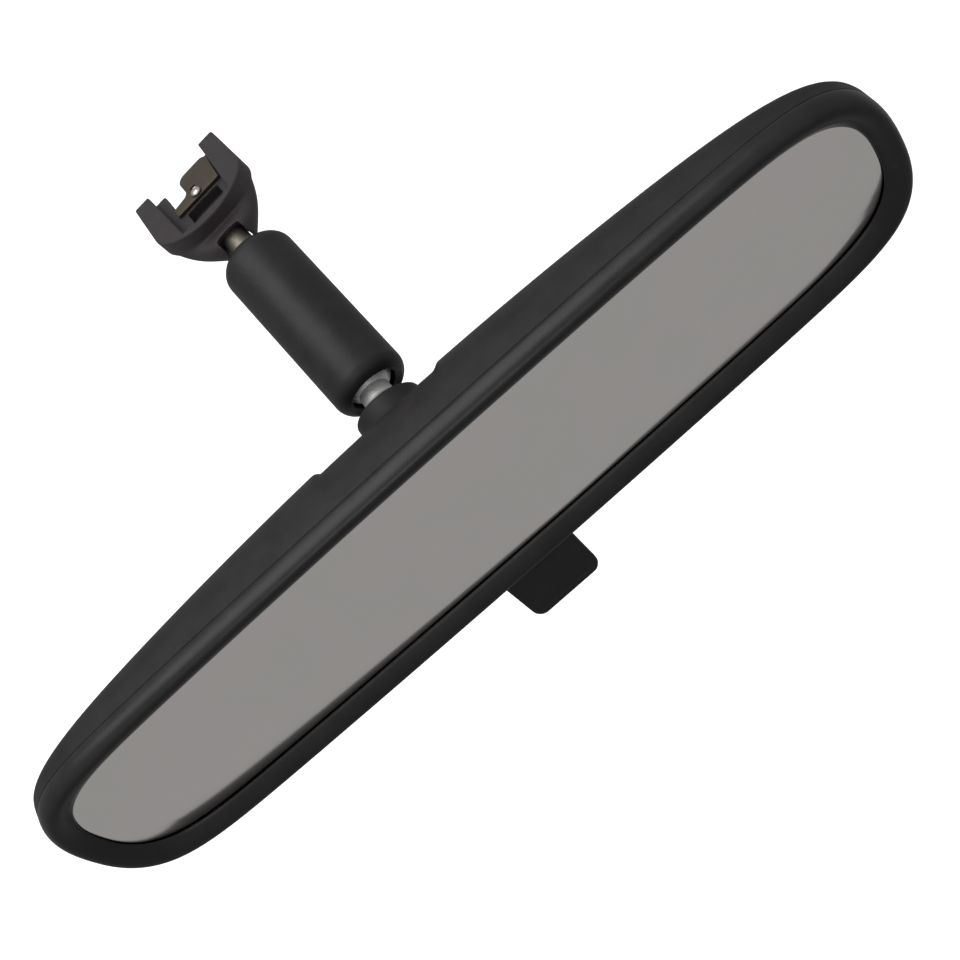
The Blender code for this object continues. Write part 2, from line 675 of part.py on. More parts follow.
def make_funnel(foot):
    """A hull from the closed half of the plate down to the stud's socket."""
    ball_y, ball_z = foot_ball()
    lean = radians(NECK_LEAN)
    bm = bmesh.new()
    for x, y in foot_outline(-0.4):
        if y < 4.0:
            bm.verts.new((x, y, -FOOT_THICK + 1.0))
            bm.verts.new((x, y, -FOOT_THICK - 0.6))
    for x in (-FOOT_WIDTH / 2 + 2, FOOT_WIDTH / 2 - 2):
        bm.verts.new((x, 5.0, -FOOT_THICK + 1.0))
    reach, radius = 13.0, 5.6
    centre = Vector((0, ball_y + reach * sin(lean), ball_z + reach * cos(lean)))
    up = Vector((0, -cos(lean), sin(lean)))
    for i in range(20):
        angle = 2 * pi * i / 20
        bm.verts.new(centre + Vector((radius * cos(angle), 0, 0)) + up * radius * sin(angle))
    result = bmesh.ops.convex_hull(bm, input=bm.verts)
    loose = [item for item in result["geom_interior"] if isinstance(item, bmesh.types.BMVert)]
    bmesh.ops.delete(bm, geom=loose, context="VERTS")
    return add_object("funnel", bm, foot)


def channel_cutters(foot):
    """The button's tapered channel, its undercut, the open end and the pocket in its floor."""
    wide, narrow = BUTTON_WIDE / 2, BUTTON_NARROW / 2
    end = FOOT_LENGTH / 2
    closed = -end + 2.2

    def slot(grow, low, high, start):
        outline = [(-narrow - grow, start), (narrow + grow, start)]
        outline += [(wide + grow, end + 1), (-wide - grow, end + 1)]
        return prism(outline, low, high)

    lip = add_object("channel_lip", slot(0, -CHANNEL_LIP - 0.2, 1, closed + 1.6), foot)
    under = add_object("channel_under", slot(UNDERCUT, -CHANNEL_DEPTH, -CHANNEL_LIP, closed + 2.6), foot)
    opening = add_object("open_end", box(-7.0, 8.4, 5.0, end + 2, -FOOT_THICK - 9, 1), foot)
    pocket = add_object("pocket", box(-4.6, 6.6, closed + 0.9, -1.4, -5.3, 1), foot)
    return lip, under, opening, pocket


def make_clip(foot, finish):
    """Spring-steel plate on the channel's floor, with a tongue up the right side and a small hole."""
    low = -CHANNEL_DEPTH + GAP
    outline = [(-7.4, -1.0), (7.6, -1.0), (8.0, 11.5)] + arc(5.4, 12.4, 2.4, 0, 90, 4)
    outline += arc(1.6, 11.8, 3.0, 90, 180, 4) + [(-1.4, 6.6), (-2.4, 5.4), (-7.2, 4.6)]
    made = add_object("button_clip", prism(outline, low, low + 0.8), foot, finish)
    hole = moved(cylinder(1.0, low - 1, low + 2, 16), at(1.0, 6.0, 0))
    cut(made, add_object("clip_hole", hole, foot))
    return made


def make_rivet(foot, finish):
    """The domed detent below the hole."""
    base = -CHANNEL_DEPTH + GAP + 0.8 + GAP
    profile = [(0, base), (1.7, base), (1.55, base + 0.5), (1.0, base + 0.9), (0, base + 1.05)]
    return add_object("clip_rivet", moved(revolve(profile[::-1], 20), at(1.0, 2.4, 0)), foot, finish)


def make_upper_stud(upper_ball, finish):
    """Ball and straight neck, with a chamfered end inside the foot."""
    profile = [(r, -z) for r, z in ball_and_neck(UPPER_NECK_RADIUS, FOOT_NECK + 3.8)]
    profile += [(UPPER_NECK_RADIUS - 0.5, FOOT_NECK + 4.3), (0, FOOT_NECK + 4.3)]
    return add_object("upper_ball_stud", revolve(profile[::-1], 28), upper_ball, finish)


def main():
    clear_scene()
    black = material("black_plastic", (0.020, 0.019, 0.021), 0.42)
    foot_black = material("foot_black", (0.035, 0.032, 0.033), 0.5)
    silvered = material("silvered_glass", (0.28, 0.27, 0.26), 0.05, 1.0)
    foam = material("foam", (0.06, 0.06, 0.06), 0.9)
    nylon = material("nylon", (0.75, 0.74, 0.70), 0.5)
    steel = material("steel", (0.55, 0.55, 0.56), 0.35, 1.0)
    zinc = material("zinc", (0.45, 0.46, 0.48), 0.4, 1.0)
    clip_steel = material("clip_steel", (0.10, 0.09, 0.07), 0.4, 0.8)
    tube_black = material("tube_black", (0.022, 0.021, 0.023), 0.38)

    ball_y, ball_z = foot_ball()
    foot_place = turn(-FOOT_RAKE, "X") @ turn(FOOT_TURN, "Z")
    neck_place = shift(0, ball_y, ball_z) @ turn(-NECK_LEAN, "X")
    foot = empty("foot_frame", foot_place)
    upper_ball = empty("upper_ball", neck_place, foot)
    arm_turn = turn(ARM_SWING, "Z") @ turn(-(90 - ARM_RISE), "X")
    ball_at = (foot_place @ neck_place).translation
    arm_place = Matrix.Translation(ball_at) @ arm_turn @ shift(0, 0, -BALL_SPACING)
    low_at = arm_place.translation
    arm = empty("arm_frame", arm_place)
    stud = empty("stud_frame", Matrix.Translation(low_at) @ turn(-(90 - ARM_RISE), "X"))
    head = empty("head_frame", Matrix.Translation(low_at) @ shift(-MOUNT_X, -BALL_BEHIND, -BALL_UP))
    arm_top = empty("arm_top", shift(0, 0, BALL_SPACING), arm)
    pivot = empty("lever_pivot", shift(0, LEVER_PIVOT_Y, LEVER_PIVOT_Z), head)

    make_case(head, stud, black)
    make_bezel(head, black)
    make_glass(head, silvered)
    make_pad(head, foam)
    make_tilt_pin(head, steel)
    make_pin_clips(head, steel)
    make_lever_pin(head, steel)
    make_toggle_spring(head, steel)
    make_spring_screw(head, steel)
    make_lever(pivot, black)
    make_lower_stud(stud, zinc)
    make_bracket(stud, steel)
    make_bracket_screws(stud, steel)
    make_ring("lower_ball_ring", arm, nylon, -1)
    make_cup("lower_ball_cup", arm, nylon, -1)
    make_ring("upper_ball_ring", arm_top, nylon, 1)
    make_cup("upper_ball_cup", arm_top, nylon, 1)
    make_tube(arm, tube_black)
    make_spring(arm, steel)
    make_foot(foot, upper_ball, foot_black)
    make_clip(foot, clip_steel)
    make_rivet(foot, steel)
    make_upper_stud(upper_ball, steel)


main()
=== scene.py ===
# %% [markdown]
# # An interior rearview mirror
# A wide day and night mirror hangs on a short tube with a ball joint at each end. The foot at the top
# slides on a button on the windshield. This lesson builds each visible piece with a mesh that is finer
# than the engineering model, gives each finish its own nodes, and rides every piece on the body that
# carries it, so that the mirror can still be turned and flipped.

# %% Load the engineering model and keep its size
import json
from math import acos, cos, pi, radians, sin, sqrt

import bmesh
import bpy
from mathutils import Matrix, Vector
from mathutils.bvhtree import BVHTree


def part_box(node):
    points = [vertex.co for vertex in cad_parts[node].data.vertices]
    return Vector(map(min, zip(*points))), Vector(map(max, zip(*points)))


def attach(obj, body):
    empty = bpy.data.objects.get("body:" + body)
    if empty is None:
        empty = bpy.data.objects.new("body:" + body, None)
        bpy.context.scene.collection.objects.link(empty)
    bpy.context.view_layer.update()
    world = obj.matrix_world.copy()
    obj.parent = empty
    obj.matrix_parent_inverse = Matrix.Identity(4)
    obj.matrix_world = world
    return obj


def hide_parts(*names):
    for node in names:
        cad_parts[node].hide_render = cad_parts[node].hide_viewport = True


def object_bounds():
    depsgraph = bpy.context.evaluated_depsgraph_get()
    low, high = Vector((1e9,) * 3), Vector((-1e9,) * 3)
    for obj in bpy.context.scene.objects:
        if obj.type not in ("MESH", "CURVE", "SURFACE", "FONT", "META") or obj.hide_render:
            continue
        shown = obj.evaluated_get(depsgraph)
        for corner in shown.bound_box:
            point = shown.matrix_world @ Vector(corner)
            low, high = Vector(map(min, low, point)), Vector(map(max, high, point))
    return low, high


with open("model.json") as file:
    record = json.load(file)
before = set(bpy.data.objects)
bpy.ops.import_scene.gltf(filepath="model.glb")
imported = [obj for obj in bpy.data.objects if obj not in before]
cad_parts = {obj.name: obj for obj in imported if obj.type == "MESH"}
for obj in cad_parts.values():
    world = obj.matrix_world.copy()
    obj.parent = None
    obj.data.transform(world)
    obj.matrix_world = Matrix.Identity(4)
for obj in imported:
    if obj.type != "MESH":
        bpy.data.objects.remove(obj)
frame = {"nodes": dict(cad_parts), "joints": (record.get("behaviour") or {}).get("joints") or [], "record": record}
cad_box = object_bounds()

# %% [markdown]
# ## Landmarks
# Nothing is placed by eye. The glass, the two ball centres and the tilted foot are read from the model
# and its joints. From them come five small work frames, one for each piece of the mirror that has its
# own direction: the head, the stud at the back of the case, the arm, the foot, and the foot's neck.

# %% Work frames, read from the model
MM = 0.001
joints = {joint["name"]: joint for joint in frame["joints"]}
mounts = {mount["name"]: mount for mount in frame["record"]["mounts"]}


def work_frame(origin, along_x, along_z):
    """A placement from its origin, its Z direction and a rough X direction."""
    z = Vector(along_z).normalized()
    x = (Vector(along_x) - Vector(along_x).dot(z) * z).normalized()
    turned = Matrix((x, z.cross(x), z)).transposed().to_4x4()
    return Matrix.Translation(Vector(origin)) @ turned


glass_low, glass_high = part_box("prism_glass")
glass_middle = (glass_low + glass_high) / 2
glass_middle.y = glass_low.y
lower_ball = Vector(joints["head_roll"]["pos_m"])
upper_ball = Vector(joints["arm_spin"]["pos_m"])
stud_axis = Vector(joints["head_roll"]["axis"])
arm_axis = Vector(joints["arm_spin"]["axis"])

head = Matrix.Translation(glass_middle)
stud = work_frame(lower_ball, (1, 0, 0), stud_axis)
arm = work_frame(lower_ball, arm_axis.cross(Vector((0, 0, 1))), arm_axis)
foot = work_frame((0, 0, 0), joints["arm_pitch"]["axis"], mounts["windshield_button"]["axis"])
NECK_LEAN = radians(64.7)  # from the foot's normal to the upper stud
neck = Matrix.Translation(upper_ball) @ foot.to_3x3().to_4x4() @ Matrix.Rotation(-NECK_LEAN, 4, "X")
print("glass middle (mm):", [round(v / MM, 1) for v in glass_middle])

# %% [markdown]
# ## Camera
# The camera looks down on the glass from above, a little to one side, and it is rolled so that the long
# mirror runs from corner to corner. It stands a few millimetres beside the glass's own middle, which
# leaves room in the frame for the arm.

# %% Camera
CAMERA_AZIMUTH, CAMERA_ELEVATION, CAMERA_ROLL = radians(12.01), radians(49.89), radians(-50.98)
CAMERA_DISTANCE, CAMERA_ALONG, CAMERA_UP = 0.3631, 0.00713, 0.00306
CAMERA_LENS, SENSOR_WIDTH = 56.36, 36.0


def make_camera():
    back = Vector((sin(CAMERA_AZIMUTH) * cos(CAMERA_ELEVATION),
                   -cos(CAMERA_AZIMUTH) * cos(CAMERA_ELEVATION), sin(CAMERA_ELEVATION)))
    level = Vector((cos(CAMERA_AZIMUTH), sin(CAMERA_AZIMUTH), 0))
    upright = back.cross(level)
    right = cos(CAMERA_ROLL) * level + sin(CAMERA_ROLL) * upright
    data = bpy.data.cameras.new("camera")
    data.lens, data.sensor_width = CAMERA_LENS, SENSOR_WIDTH
    data.clip_start = 0.01
    made = bpy.data.objects.new("camera", data)
    bpy.context.scene.collection.objects.link(made)
    turned = Matrix((right, back.cross(right), back)).transposed().to_4x4()
    place = glass_middle + back * CAMERA_DISTANCE + level * CAMERA_ALONG + upright * CAMERA_UP
    made.matrix_world = Matrix.Translation(place) @ turned
    bpy.context.scene.camera = made


make_camera()
print("camera stands", CAMERA_DISTANCE, "m from the glass")

# %% [markdown]
# ## Floor and light
# A product on white stands in a bright surround that fills the shadows. Black plastic shows its shape
# only by what it reflects, so the world is a soft gradient, bright above and grey below. A large softbox
# hangs over the mirror's back edge, and a small weak one lifts the front. The paper glows a little, so
# that it stays white where the lamps fall off, and it isn't seen in the glass.

# %% Floor and light
FLOOR_SIZE, FLOOR_DROP, FLOOR_GLOW = 8, 0.16, 0.62
PAPER = (0.93, 0.93, 0.93, 1)
WHITE = (1, 1, 1, 1)
LOWEST, HIGHEST = -0.2, 1.0  # heights on the sky between which the gradient runs
DIM, BRIGHT = 0.30, 0.62
SOFTBOXES = [  # name, place from the glass's middle, width and depth in metres, power in watts
    ("front", (-0.12, -0.40, 0.62), 0.3, 0.3, 0.5),
    ("overhead", (-0.15, 0.25, 0.75), 0.7, 0.5, 2.5),
]


def make_floor():
    low = min(corner[2] for corner in cad_box)
    bpy.ops.mesh.primitive_plane_add(size=FLOOR_SIZE, location=(0, 0, low - FLOOR_DROP))
    floor = bpy.context.object
    floor.name = "floor"
    paper = bpy.data.materials.new("white_paper")
    paper.use_nodes = True
    shader = paper.node_tree.nodes["Principled BSDF"]
    shader.inputs["Base Color"].default_value = PAPER
    shader.inputs["Roughness"].default_value = 0.9
    shader.inputs["Emission Color"].default_value = WHITE
    shader.inputs["Emission Strength"].default_value = FLOOR_GLOW
    floor.data.materials.append(paper)
    floor.visible_glossy = False


def make_world():
    world = bpy.data.worlds.new("soft_surround")
    bpy.context.scene.world = world
    world.use_nodes = True
    nodes, links = world.node_tree.nodes, world.node_tree.links
    place = nodes.new("ShaderNodeTexCoord")
    split = nodes.new("ShaderNodeSeparateXYZ")
    ramp = nodes.new("ShaderNodeMapRange")
    for label, value in (("From Min", LOWEST), ("From Max", HIGHEST), ("To Min", DIM), ("To Max", BRIGHT)):
        ramp.inputs[label].default_value = value
    nodes["Background"].inputs["Color"].default_value = WHITE
    links.new(place.outputs["Generated"], split.inputs[0])
    links.new(split.outputs["Z"], ramp.inputs["Value"])
    links.new(ramp.outputs["Result"], nodes["Background"].inputs["Strength"])


def add_softbox(name, offset, width, depth, watts):
    data = bpy.data.lights.new(name, "AREA")
    data.shape, data.size, data.size_y = "RECTANGLE", width, depth
    data.energy = watts
    lamp = bpy.data.objects.new(name, data)
    bpy.context.scene.collection.objects.link(lamp)
    lamp.location = glass_middle + Vector(offset)
    lamp.rotation_euler = (glass_middle - lamp.location).to_track_quat("-Z", "Y").to_euler()


make_floor()
make_world()
for softbox in SOFTBOXES:
    add_softbox(*softbox)
bpy.context.scene.view_settings.view_transform = "Standard"
print("floor, world and", len(SOFTBOXES), "softboxes made")

# %% [markdown]
# ## Mesh helpers
# Most pieces here are skins over rings, or turned profiles. Both are worked out in millimetres in the
# piece's own work frame, and only then moved into place, so every number reads like a drawing.

# %% Mesh helpers
ON_AXIS, WELD = 1e-6, 0.0005  # mm


def loft(loops, ring_of_rings=False):
    """Skins rings of equal length, with flat caps unless the last ring joins the first."""
    bm = bmesh.new()
    rings = [[bm.verts.new(point) for point in loop] for loop in loops]
    pairs = list(zip(rings, rings[1:])) + ([(rings[-1], rings[0])] if ring_of_rings else [])
    for low, high in pairs:
        for i in range(len(low)):
            j = (i + 1) % len(low)
            bm.faces.new((low[i], low[j], high[j], high[i]))
    if not ring_of_rings:
        bm.faces.new(rings[0])
        bm.faces.new(rings[-1])
    return bm


def revolve(profile, steps):
    """Turns (radius, z) points about Z. A profile that leaves the axis comes back to it or closes on itself."""
    bm = bmesh.new()
    rings = []
    for radius, z in profile:
        if radius < ON_AXIS:
            rings.append([bm.verts.new((0, 0, z))] * steps)
        else:
            turns = [2 * pi * i / steps for i in range(steps)]
            rings.append([bm.verts.new((radius * cos(a), radius * sin(a), z)) for a in turns])
    pairs = list(zip(rings, rings[1:]))
    if profile[0][0] > ON_AXIS:
        pairs.append((rings[-1], rings[0]))
    for low, high in pairs:
        for i in range(steps):
            j = (i + 1) % steps
            corners = list(dict.fromkeys((low[i], low[j], high[j], high[i])))
            if len(corners) > 2:
                bm.faces.new(corners)
    return bm


def prism(outline, low, high):
    return loft([[(x, y, low) for x, y in outline], [(x, y, high) for x, y in outline]])


def block(x0, x1, y0, y1, z0, z1):
    return prism([(x0, y0), (x1, y0), (x1, y1), (x0, y1)], z0, z1)


def arc(centre_x, centre_y, radius, start, end, steps):
    """Points of an arc, angles in degrees."""
    angles = [radians(start + (end - start) * i / steps) for i in range(steps + 1)]
    return [(centre_x + radius * cos(a), centre_y + radius * sin(a)) for a in angles]


def rounded(points, radius, steps=6):
    """An open or closed chain of (x, y) corners, each replaced by a small arc-like bend."""
    out = []
    for i, corner in enumerate(points):
        here = Vector(corner)
        before, after = Vector(points[i - 1]), Vector(points[(i + 1) % len(points)])
        reach = min(radius, (before - here).length / 2, (after - here).length / 2)
        start = here + (before - here).normalized() * reach
        end = here + (after - here).normalized() * reach
        for k in range(steps + 1):
            t = k / steps
            out.append(tuple((1 - t) ** 2 * start + 2 * t * (1 - t) * here + t ** 2 * end))
    return out


def finish_piece(name, bm, place, material, sharp=40.0):
    """Closes the mesh, moves it from millimetres in its work frame to metres in the model, and shades it."""
    bmesh.ops.remove_doubles(bm, verts=bm.verts, dist=WELD)
    bmesh.ops.recalc_face_normals(bm, faces=bm.faces)
    bmesh.ops.scale(bm, vec=(MM, MM, MM), verts=bm.verts)
    bmesh.ops.transform(bm, matrix=place, verts=bm.verts)
    mesh = bpy.data.meshes.new(name)
    bm.to_mesh(mesh)
    bm.free()
    mesh.shade_smooth()
    mesh.set_sharp_from_angle(angle=radians(sharp))
    made = bpy.data.objects.new(name, mesh)
    bpy.context.scene.collection.objects.link(made)
    mesh.materials.append(material)
    return made


def carve(target, cutter, operation="DIFFERENCE"):
    """Joins or cuts one piece with another for good, then throws the tool away."""
    step = target.modifiers.new("carve", "BOOLEAN")
    step.operation, step.solver, step.object = operation, "EXACT", cutter
    apply_steps(target)
    bpy.data.objects.remove(cutter, do_unlink=True)


def apply_steps(target):
    """Makes a piece's modifiers part of its mesh."""
    graph = bpy.context.evaluated_depsgraph_get()
    solid = bpy.data.meshes.new_from_object(target.evaluated_get(graph))
    target.modifiers.clear()
    target.data = solid


def show_as(piece, node, body):
    """The piece rides on its body and stands for one engineering node."""
    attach(piece, body)
    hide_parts(node)
    print(f"{piece.name}: {len(piece.data.polygons)} faces, rides on {body}")


print("helpers ready")

# %% [markdown]
# ## Shared effects
# Three things happen to nearly every surface: the mould or the spray gun leaves a fine grain, handling
# rubs the edges lighter, and a little dust settles on what faces up. Each is one node group that puts
# out a value, and every material places it with its own amounts.

# %% Node groups: grain, rubbed edges, dust


def new_group(name, inputs, outputs):
    """An empty shader group with float sockets, and its two ends."""
    group = bpy.data.node_groups.new(name, "ShaderNodeTree")
    for label, value in inputs:
        socket = group.interface.new_socket(label, in_out="INPUT", socket_type="NodeSocketFloat")
        socket.default_value = value
    for label in outputs:
        group.interface.new_socket(label, in_out="OUTPUT", socket_type="NodeSocketFloat")
    return group, group.nodes.new("NodeGroupInput"), group.nodes.new("NodeGroupOutput")


def math_node(group, operation, first, second=None):
    """A Math node; each side is a socket or a number."""
    node = group.nodes.new("ShaderNodeMath")
    node.operation = operation
    for socket, value in zip(node.inputs, (first, second)):
        if isinstance(value, (int, float)):
            socket.default_value = value
        elif value is not None:
            group.links.new(value, socket)
    return node.outputs[0]


def add_noise(group, scale, detail):
    """Noise over the object's own coordinates; scale is per metre and may be a socket."""
    place = group.nodes.new("ShaderNodeTexCoord")
    made = group.nodes.new("ShaderNodeTexNoise")
    made.inputs["Detail"].default_value = detail
    group.links.new(place.outputs["Object"], made.inputs["Vector"])
    if isinstance(scale, (int, float)):
        made.inputs["Scale"].default_value = scale
    else:
        group.links.new(scale, made.inputs["Scale"])
    return made.outputs["Fac"]


def make_grain_group():
    """Fine pebbles for bump, and a slow mottle for roughness and colour."""
    group, start, end = new_group("moulded_grain", [("Scale", 3000.0)], ["Height", "Mottle"])
    group.links.new(add_noise(group, start.outputs["Scale"], 3.0), end.inputs["Height"])
    group.links.new(add_noise(group, 60.0, 4.0), end.inputs["Mottle"])
    return group


def make_edge_group():
    """White on convex edges, broken up by noise."""
    inputs = [("Start", 0.52), ("Reach", 0.08), ("Amount", 1.0)]
    group, start, end = new_group("rubbed_edges", inputs, ["Mask"])
    shape = group.nodes.new("ShaderNodeNewGeometry")
    above = math_node(group, "SUBTRACT", shape.outputs["Pointiness"], start.outputs["Start"])
    share = math_node(group, "DIVIDE", above, start.outputs["Reach"])
    share = math_node(group, "MINIMUM", math_node(group, "MAXIMUM", share, 0.0), 1.0)
    broken = math_node(group, "MULTIPLY", share, add_noise(group, 900.0, 4.0))
    group.links.new(math_node(group, "MULTIPLY", broken, start.outputs["Amount"]), end.inputs["Mask"])
    return group


def make_dust_group():
    """White where the surface faces up, in soft patches."""
    group, start, end = new_group("settled_dust", [("Amount", 0.1)], ["Mask"])
    shape = group.nodes.new("ShaderNodeNewGeometry")
    split = group.nodes.new("ShaderNodeSeparateXYZ")
    group.links.new(shape.outputs["Normal"], split.inputs[0])
    up = math_node(group, "MAXIMUM", split.outputs["Z"], 0.0)
    patches = math_node(group, "MULTIPLY", up, add_noise(group, 150.0, 5.0))
    group.links.new(math_node(group, "MULTIPLY", patches, start.outputs["Amount"]), end.inputs["Mask"])
    return group


GRAIN, EDGES, DUST = make_grain_group(), make_edge_group(), make_dust_group()
print("groups:", GRAIN.name, EDGES.name, DUST.name)

# %% [markdown]
# ## Finishes
# Every finish starts from the same recipe: a base colour, rubbed edges mixed over it, dust over that, a
# roughness that wanders a little, and a bump from the grain. What differs is the numbers, and those are
# what make one black plastic look moulded and the next one sprayed.

# %% The common recipe
DUST_COLOR, DUST_AMOUNT = (0.42, 0.40, 0.37), 0.05
MOTTLE_GAIN = 1.12  # how much lighter the mottled patches are
ROUGHNESS_SPREAD = 0.08  # how far a finish's roughness wanders
GRAIN_HEIGHT = 0.0002  # metres, at a bump of 1


def place_group(material, group, **values):
    node = material.node_tree.nodes.new("ShaderNodeGroup")
    node.node_tree = group
    for label, value in values.items():
        node.inputs[label].default_value = value
    return node


def mix_color(material, mask, below, above):
    """Mixes one colour over another by a mask. The lower colour is a socket or a colour."""
    node = material.node_tree.nodes.new("ShaderNodeMix")
    node.data_type = "RGBA"
    material.node_tree.links.new(mask, node.inputs["Factor"])
    for label, value in (("A", below), ("B", above)):
        socket = [item for item in node.inputs if item.name == label and item.type == "RGBA"][0]
        if isinstance(value, bpy.types.NodeSocket):
            material.node_tree.links.new(value, socket)
        else:
            socket.default_value = (*value, 1.0)
    return [item for item in node.outputs if item.type == "RGBA"][0]


def make_finish(name, color, rubbed, roughness, metallic=0.0, grain=3000, bump=0.1, wear=0.5, shine=0.35):
    """A finish with grain, rubbed edges and dust. grain is how many pebbles stand in a metre."""
    made = bpy.data.materials.new(name)
    made.use_nodes = True
    tree = made.node_tree
    shader = tree.nodes["Principled BSDF"]
    shader.inputs["Metallic"].default_value = metallic
    shader.inputs["Specular IOR Level"].default_value = shine
    surface = place_group(made, GRAIN, Scale=grain)
    edge = place_group(made, EDGES, Amount=wear)
    settled = place_group(made, DUST, Amount=DUST_AMOUNT)
    worn = mix_color(made, edge.outputs["Mask"], color, rubbed)
    mottled = mix_color(made, surface.outputs["Mottle"], worn, tuple(c * MOTTLE_GAIN for c in color))
    dusty = mix_color(made, settled.outputs["Mask"], mottled, DUST_COLOR)
    tree.links.new(dusty, shader.inputs["Base Color"])
    wander = tree.nodes.new("ShaderNodeMapRange")
    wander.inputs["From Min"].default_value, wander.inputs["From Max"].default_value = 0.3, 0.7
    wander.inputs["To Min"].default_value = roughness - ROUGHNESS_SPREAD / 2
    wander.inputs["To Max"].default_value = roughness + ROUGHNESS_SPREAD / 2
    tree.links.new(surface.outputs["Mottle"], wander.inputs["Value"])
    tree.links.new(wander.outputs["Result"], shader.inputs["Roughness"])
    relief = tree.nodes.new("ShaderNodeBump")
    relief.inputs["Strength"].default_value = bump
    relief.inputs["Distance"].default_value = GRAIN_HEIGHT
    tree.links.new(surface.outputs["Height"], relief.inputs["Height"])
    tree.links.new(relief.outputs["Normal"], shader.inputs["Normal"])
    return made


# %% One finish for each kind of piece
case_black = make_finish("case_black", (0.0075, 0.0060, 0.0070), (0.03, 0.027, 0.029), 0.46,
                         shine=0.24, bump=0.35, wear=0.35)
bezel_black = make_finish("bezel_black", (0.0050, 0.0042, 0.0050), (0.04, 0.037, 0.04), 0.30,
                          shine=0.30, grain=5000, bump=0.12)
lever_black = make_finish("lever_black", (0.0050, 0.0042, 0.0050), (0.035, 0.032, 0.035), 0.40,
                          shine=0.25, grain=4000, bump=0.2)
tube_coat = make_finish("tube_coat", (0.0090, 0.0078, 0.0095), (0.04, 0.038, 0.04), 0.42,
                        shine=0.28, grain=2600, bump=0.25)
foot_coat = make_finish("foot_coat", (0.030, 0.024, 0.027), (0.09, 0.08, 0.08), 0.52,
                        shine=0.3, grain=2200, bump=0.4)
bright_cast = make_finish("bright_cast", (0.66, 0.66, 0.65), (0.8, 0.8, 0.79), 0.48,
                          metallic=0.7, grain=2400, bump=0.25)
olive_steel = make_finish("olive_steel", (0.22, 0.20, 0.16), (0.42, 0.40, 0.36), 0.42,
                          metallic=0.8, bump=0.3)
clip_steel = make_finish("clip_steel", (0.085, 0.066, 0.050), (0.40, 0.34, 0.25), 0.40,
                         metallic=0.7, grain=2400, bump=0.3)
dimple_steel = make_finish("dimple_steel", (0.60, 0.58, 0.52), (0.85, 0.83, 0.8), 0.28, metallic=1.0)
plain_steel = make_finish("plain_steel", (0.48, 0.48, 0.48), (0.7, 0.7, 0.7), 0.35,
                          metallic=1.0, bump=0.15)
spring_steel = make_finish("spring_steel", (0.26, 0.26, 0.27), (0.5, 0.5, 0.5), 0.4,
                           metallic=1.0, bump=0.15)
natural_nylon = make_finish("natural_nylon", (0.62, 0.60, 0.54), (0.75, 0.74, 0.7), 0.5, grain=2000)
dark_foam = make_finish("dark_foam", (0.03, 0.03, 0.032), (0.06, 0.06, 0.06), 0.95, grain=1400, bump=0.8)
print("finishes ready")

# %% [markdown]
# ## Silvered glass
# The glass is a wedge with silver behind it. From the front it is one grey mirror, so a metallic surface
# with a soft roughness says the same with less noise than real glass over silver. Handling has left very
# faint blotches, warm in some places and greenish in others.

# %% Silvered glass
GREENISH, WARM = (0.86, 0.88, 0.82), (0.95, 0.86, 0.87)
BLOTCHES = 40.0  # to a metre
LEAST_BLUR, MOST_BLUR = 0.10, 0.16


def make_silvering():
    made = bpy.data.materials.new("silvered_glass")
    made.use_nodes = True
    tree = made.node_tree
    shader = tree.nodes["Principled BSDF"]
    shader.inputs["Metallic"].default_value = 1.0
    blotches = place_group(made, GRAIN, Scale=BLOTCHES)
    tint = mix_color(made, blotches.outputs["Height"], GREENISH, WARM)
    tree.links.new(tint, shader.inputs["Base Color"])
    wander = tree.nodes.new("ShaderNodeMapRange")
    wander.inputs["To Min"].default_value, wander.inputs["To Max"].default_value = LEAST_BLUR, MOST_BLUR
    tree.links.new(blotches.outputs["Mottle"], wander.inputs["Value"])
    tree.links.new(wander.outputs["Result"], shader.inputs["Roughness"])
    return made


silvered_glass = make_silvering()
print("glass finish ready")

# %% [markdown]
# ## The outline of the head
# The long edges of the glass fall a little from the middle to the ends, and the ends are round. A
# superellipse that is very square along x gives that in one formula, and the same formula, grown a
# little, gives the bezel and the case.

# %% The barrel outline
bezel_low, bezel_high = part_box("front_bezel")
HALF_WIDTH = (bezel_high.x - bezel_low.x) / 2 / MM
HALF_HEIGHT = (bezel_high.z - bezel_low.z) / 2 / MM
EDGE_SAG, SIDE_POWER, END_POWER = 2.45, 14, 2.4
BEZEL_WIDTH = 6.8
FINE_STEPS, LONG_EDGE, END_TURN = 1500, 0.985, 40
ENDS_FROM, END_WEIGHT = 0.9, 3.5
RING_POINTS, CASE_POINTS, COARSE_POINTS = 420, 700, 90
VIEW_HALF_WIDTH = HALF_WIDTH - BEZEL_WIDTH
VIEW_HALF_HEIGHT = HALF_HEIGHT - BEZEL_WIDTH


def barrel_point(half_width, half_height, angle):
    c, s = cos(angle), sin(angle)
    x = half_width * (1 if c >= 0 else -1) * abs(c) ** (2 / SIDE_POWER)
    edge = half_height - EDGE_SAG * (x / half_width) ** 2
    return x, edge * (1 if s >= 0 else -1) * abs(s) ** (2 / END_POWER)


def fine_angles():
    """Close angles all round. On a long edge a tiny turn is a long way, so x sets the steps there."""
    quarter = {acos((LONG_EDGE * i / FINE_STEPS) ** (SIDE_POWER / 2)) for i in range(FINE_STEPS + 1)}
    quarter |= {radians(END_TURN * i / FINE_STEPS) for i in range(FINE_STEPS + 1)}
    return sorted({t for a in quarter for t in (a, pi - a, pi + a, 2 * pi - a)} | {2 * pi})


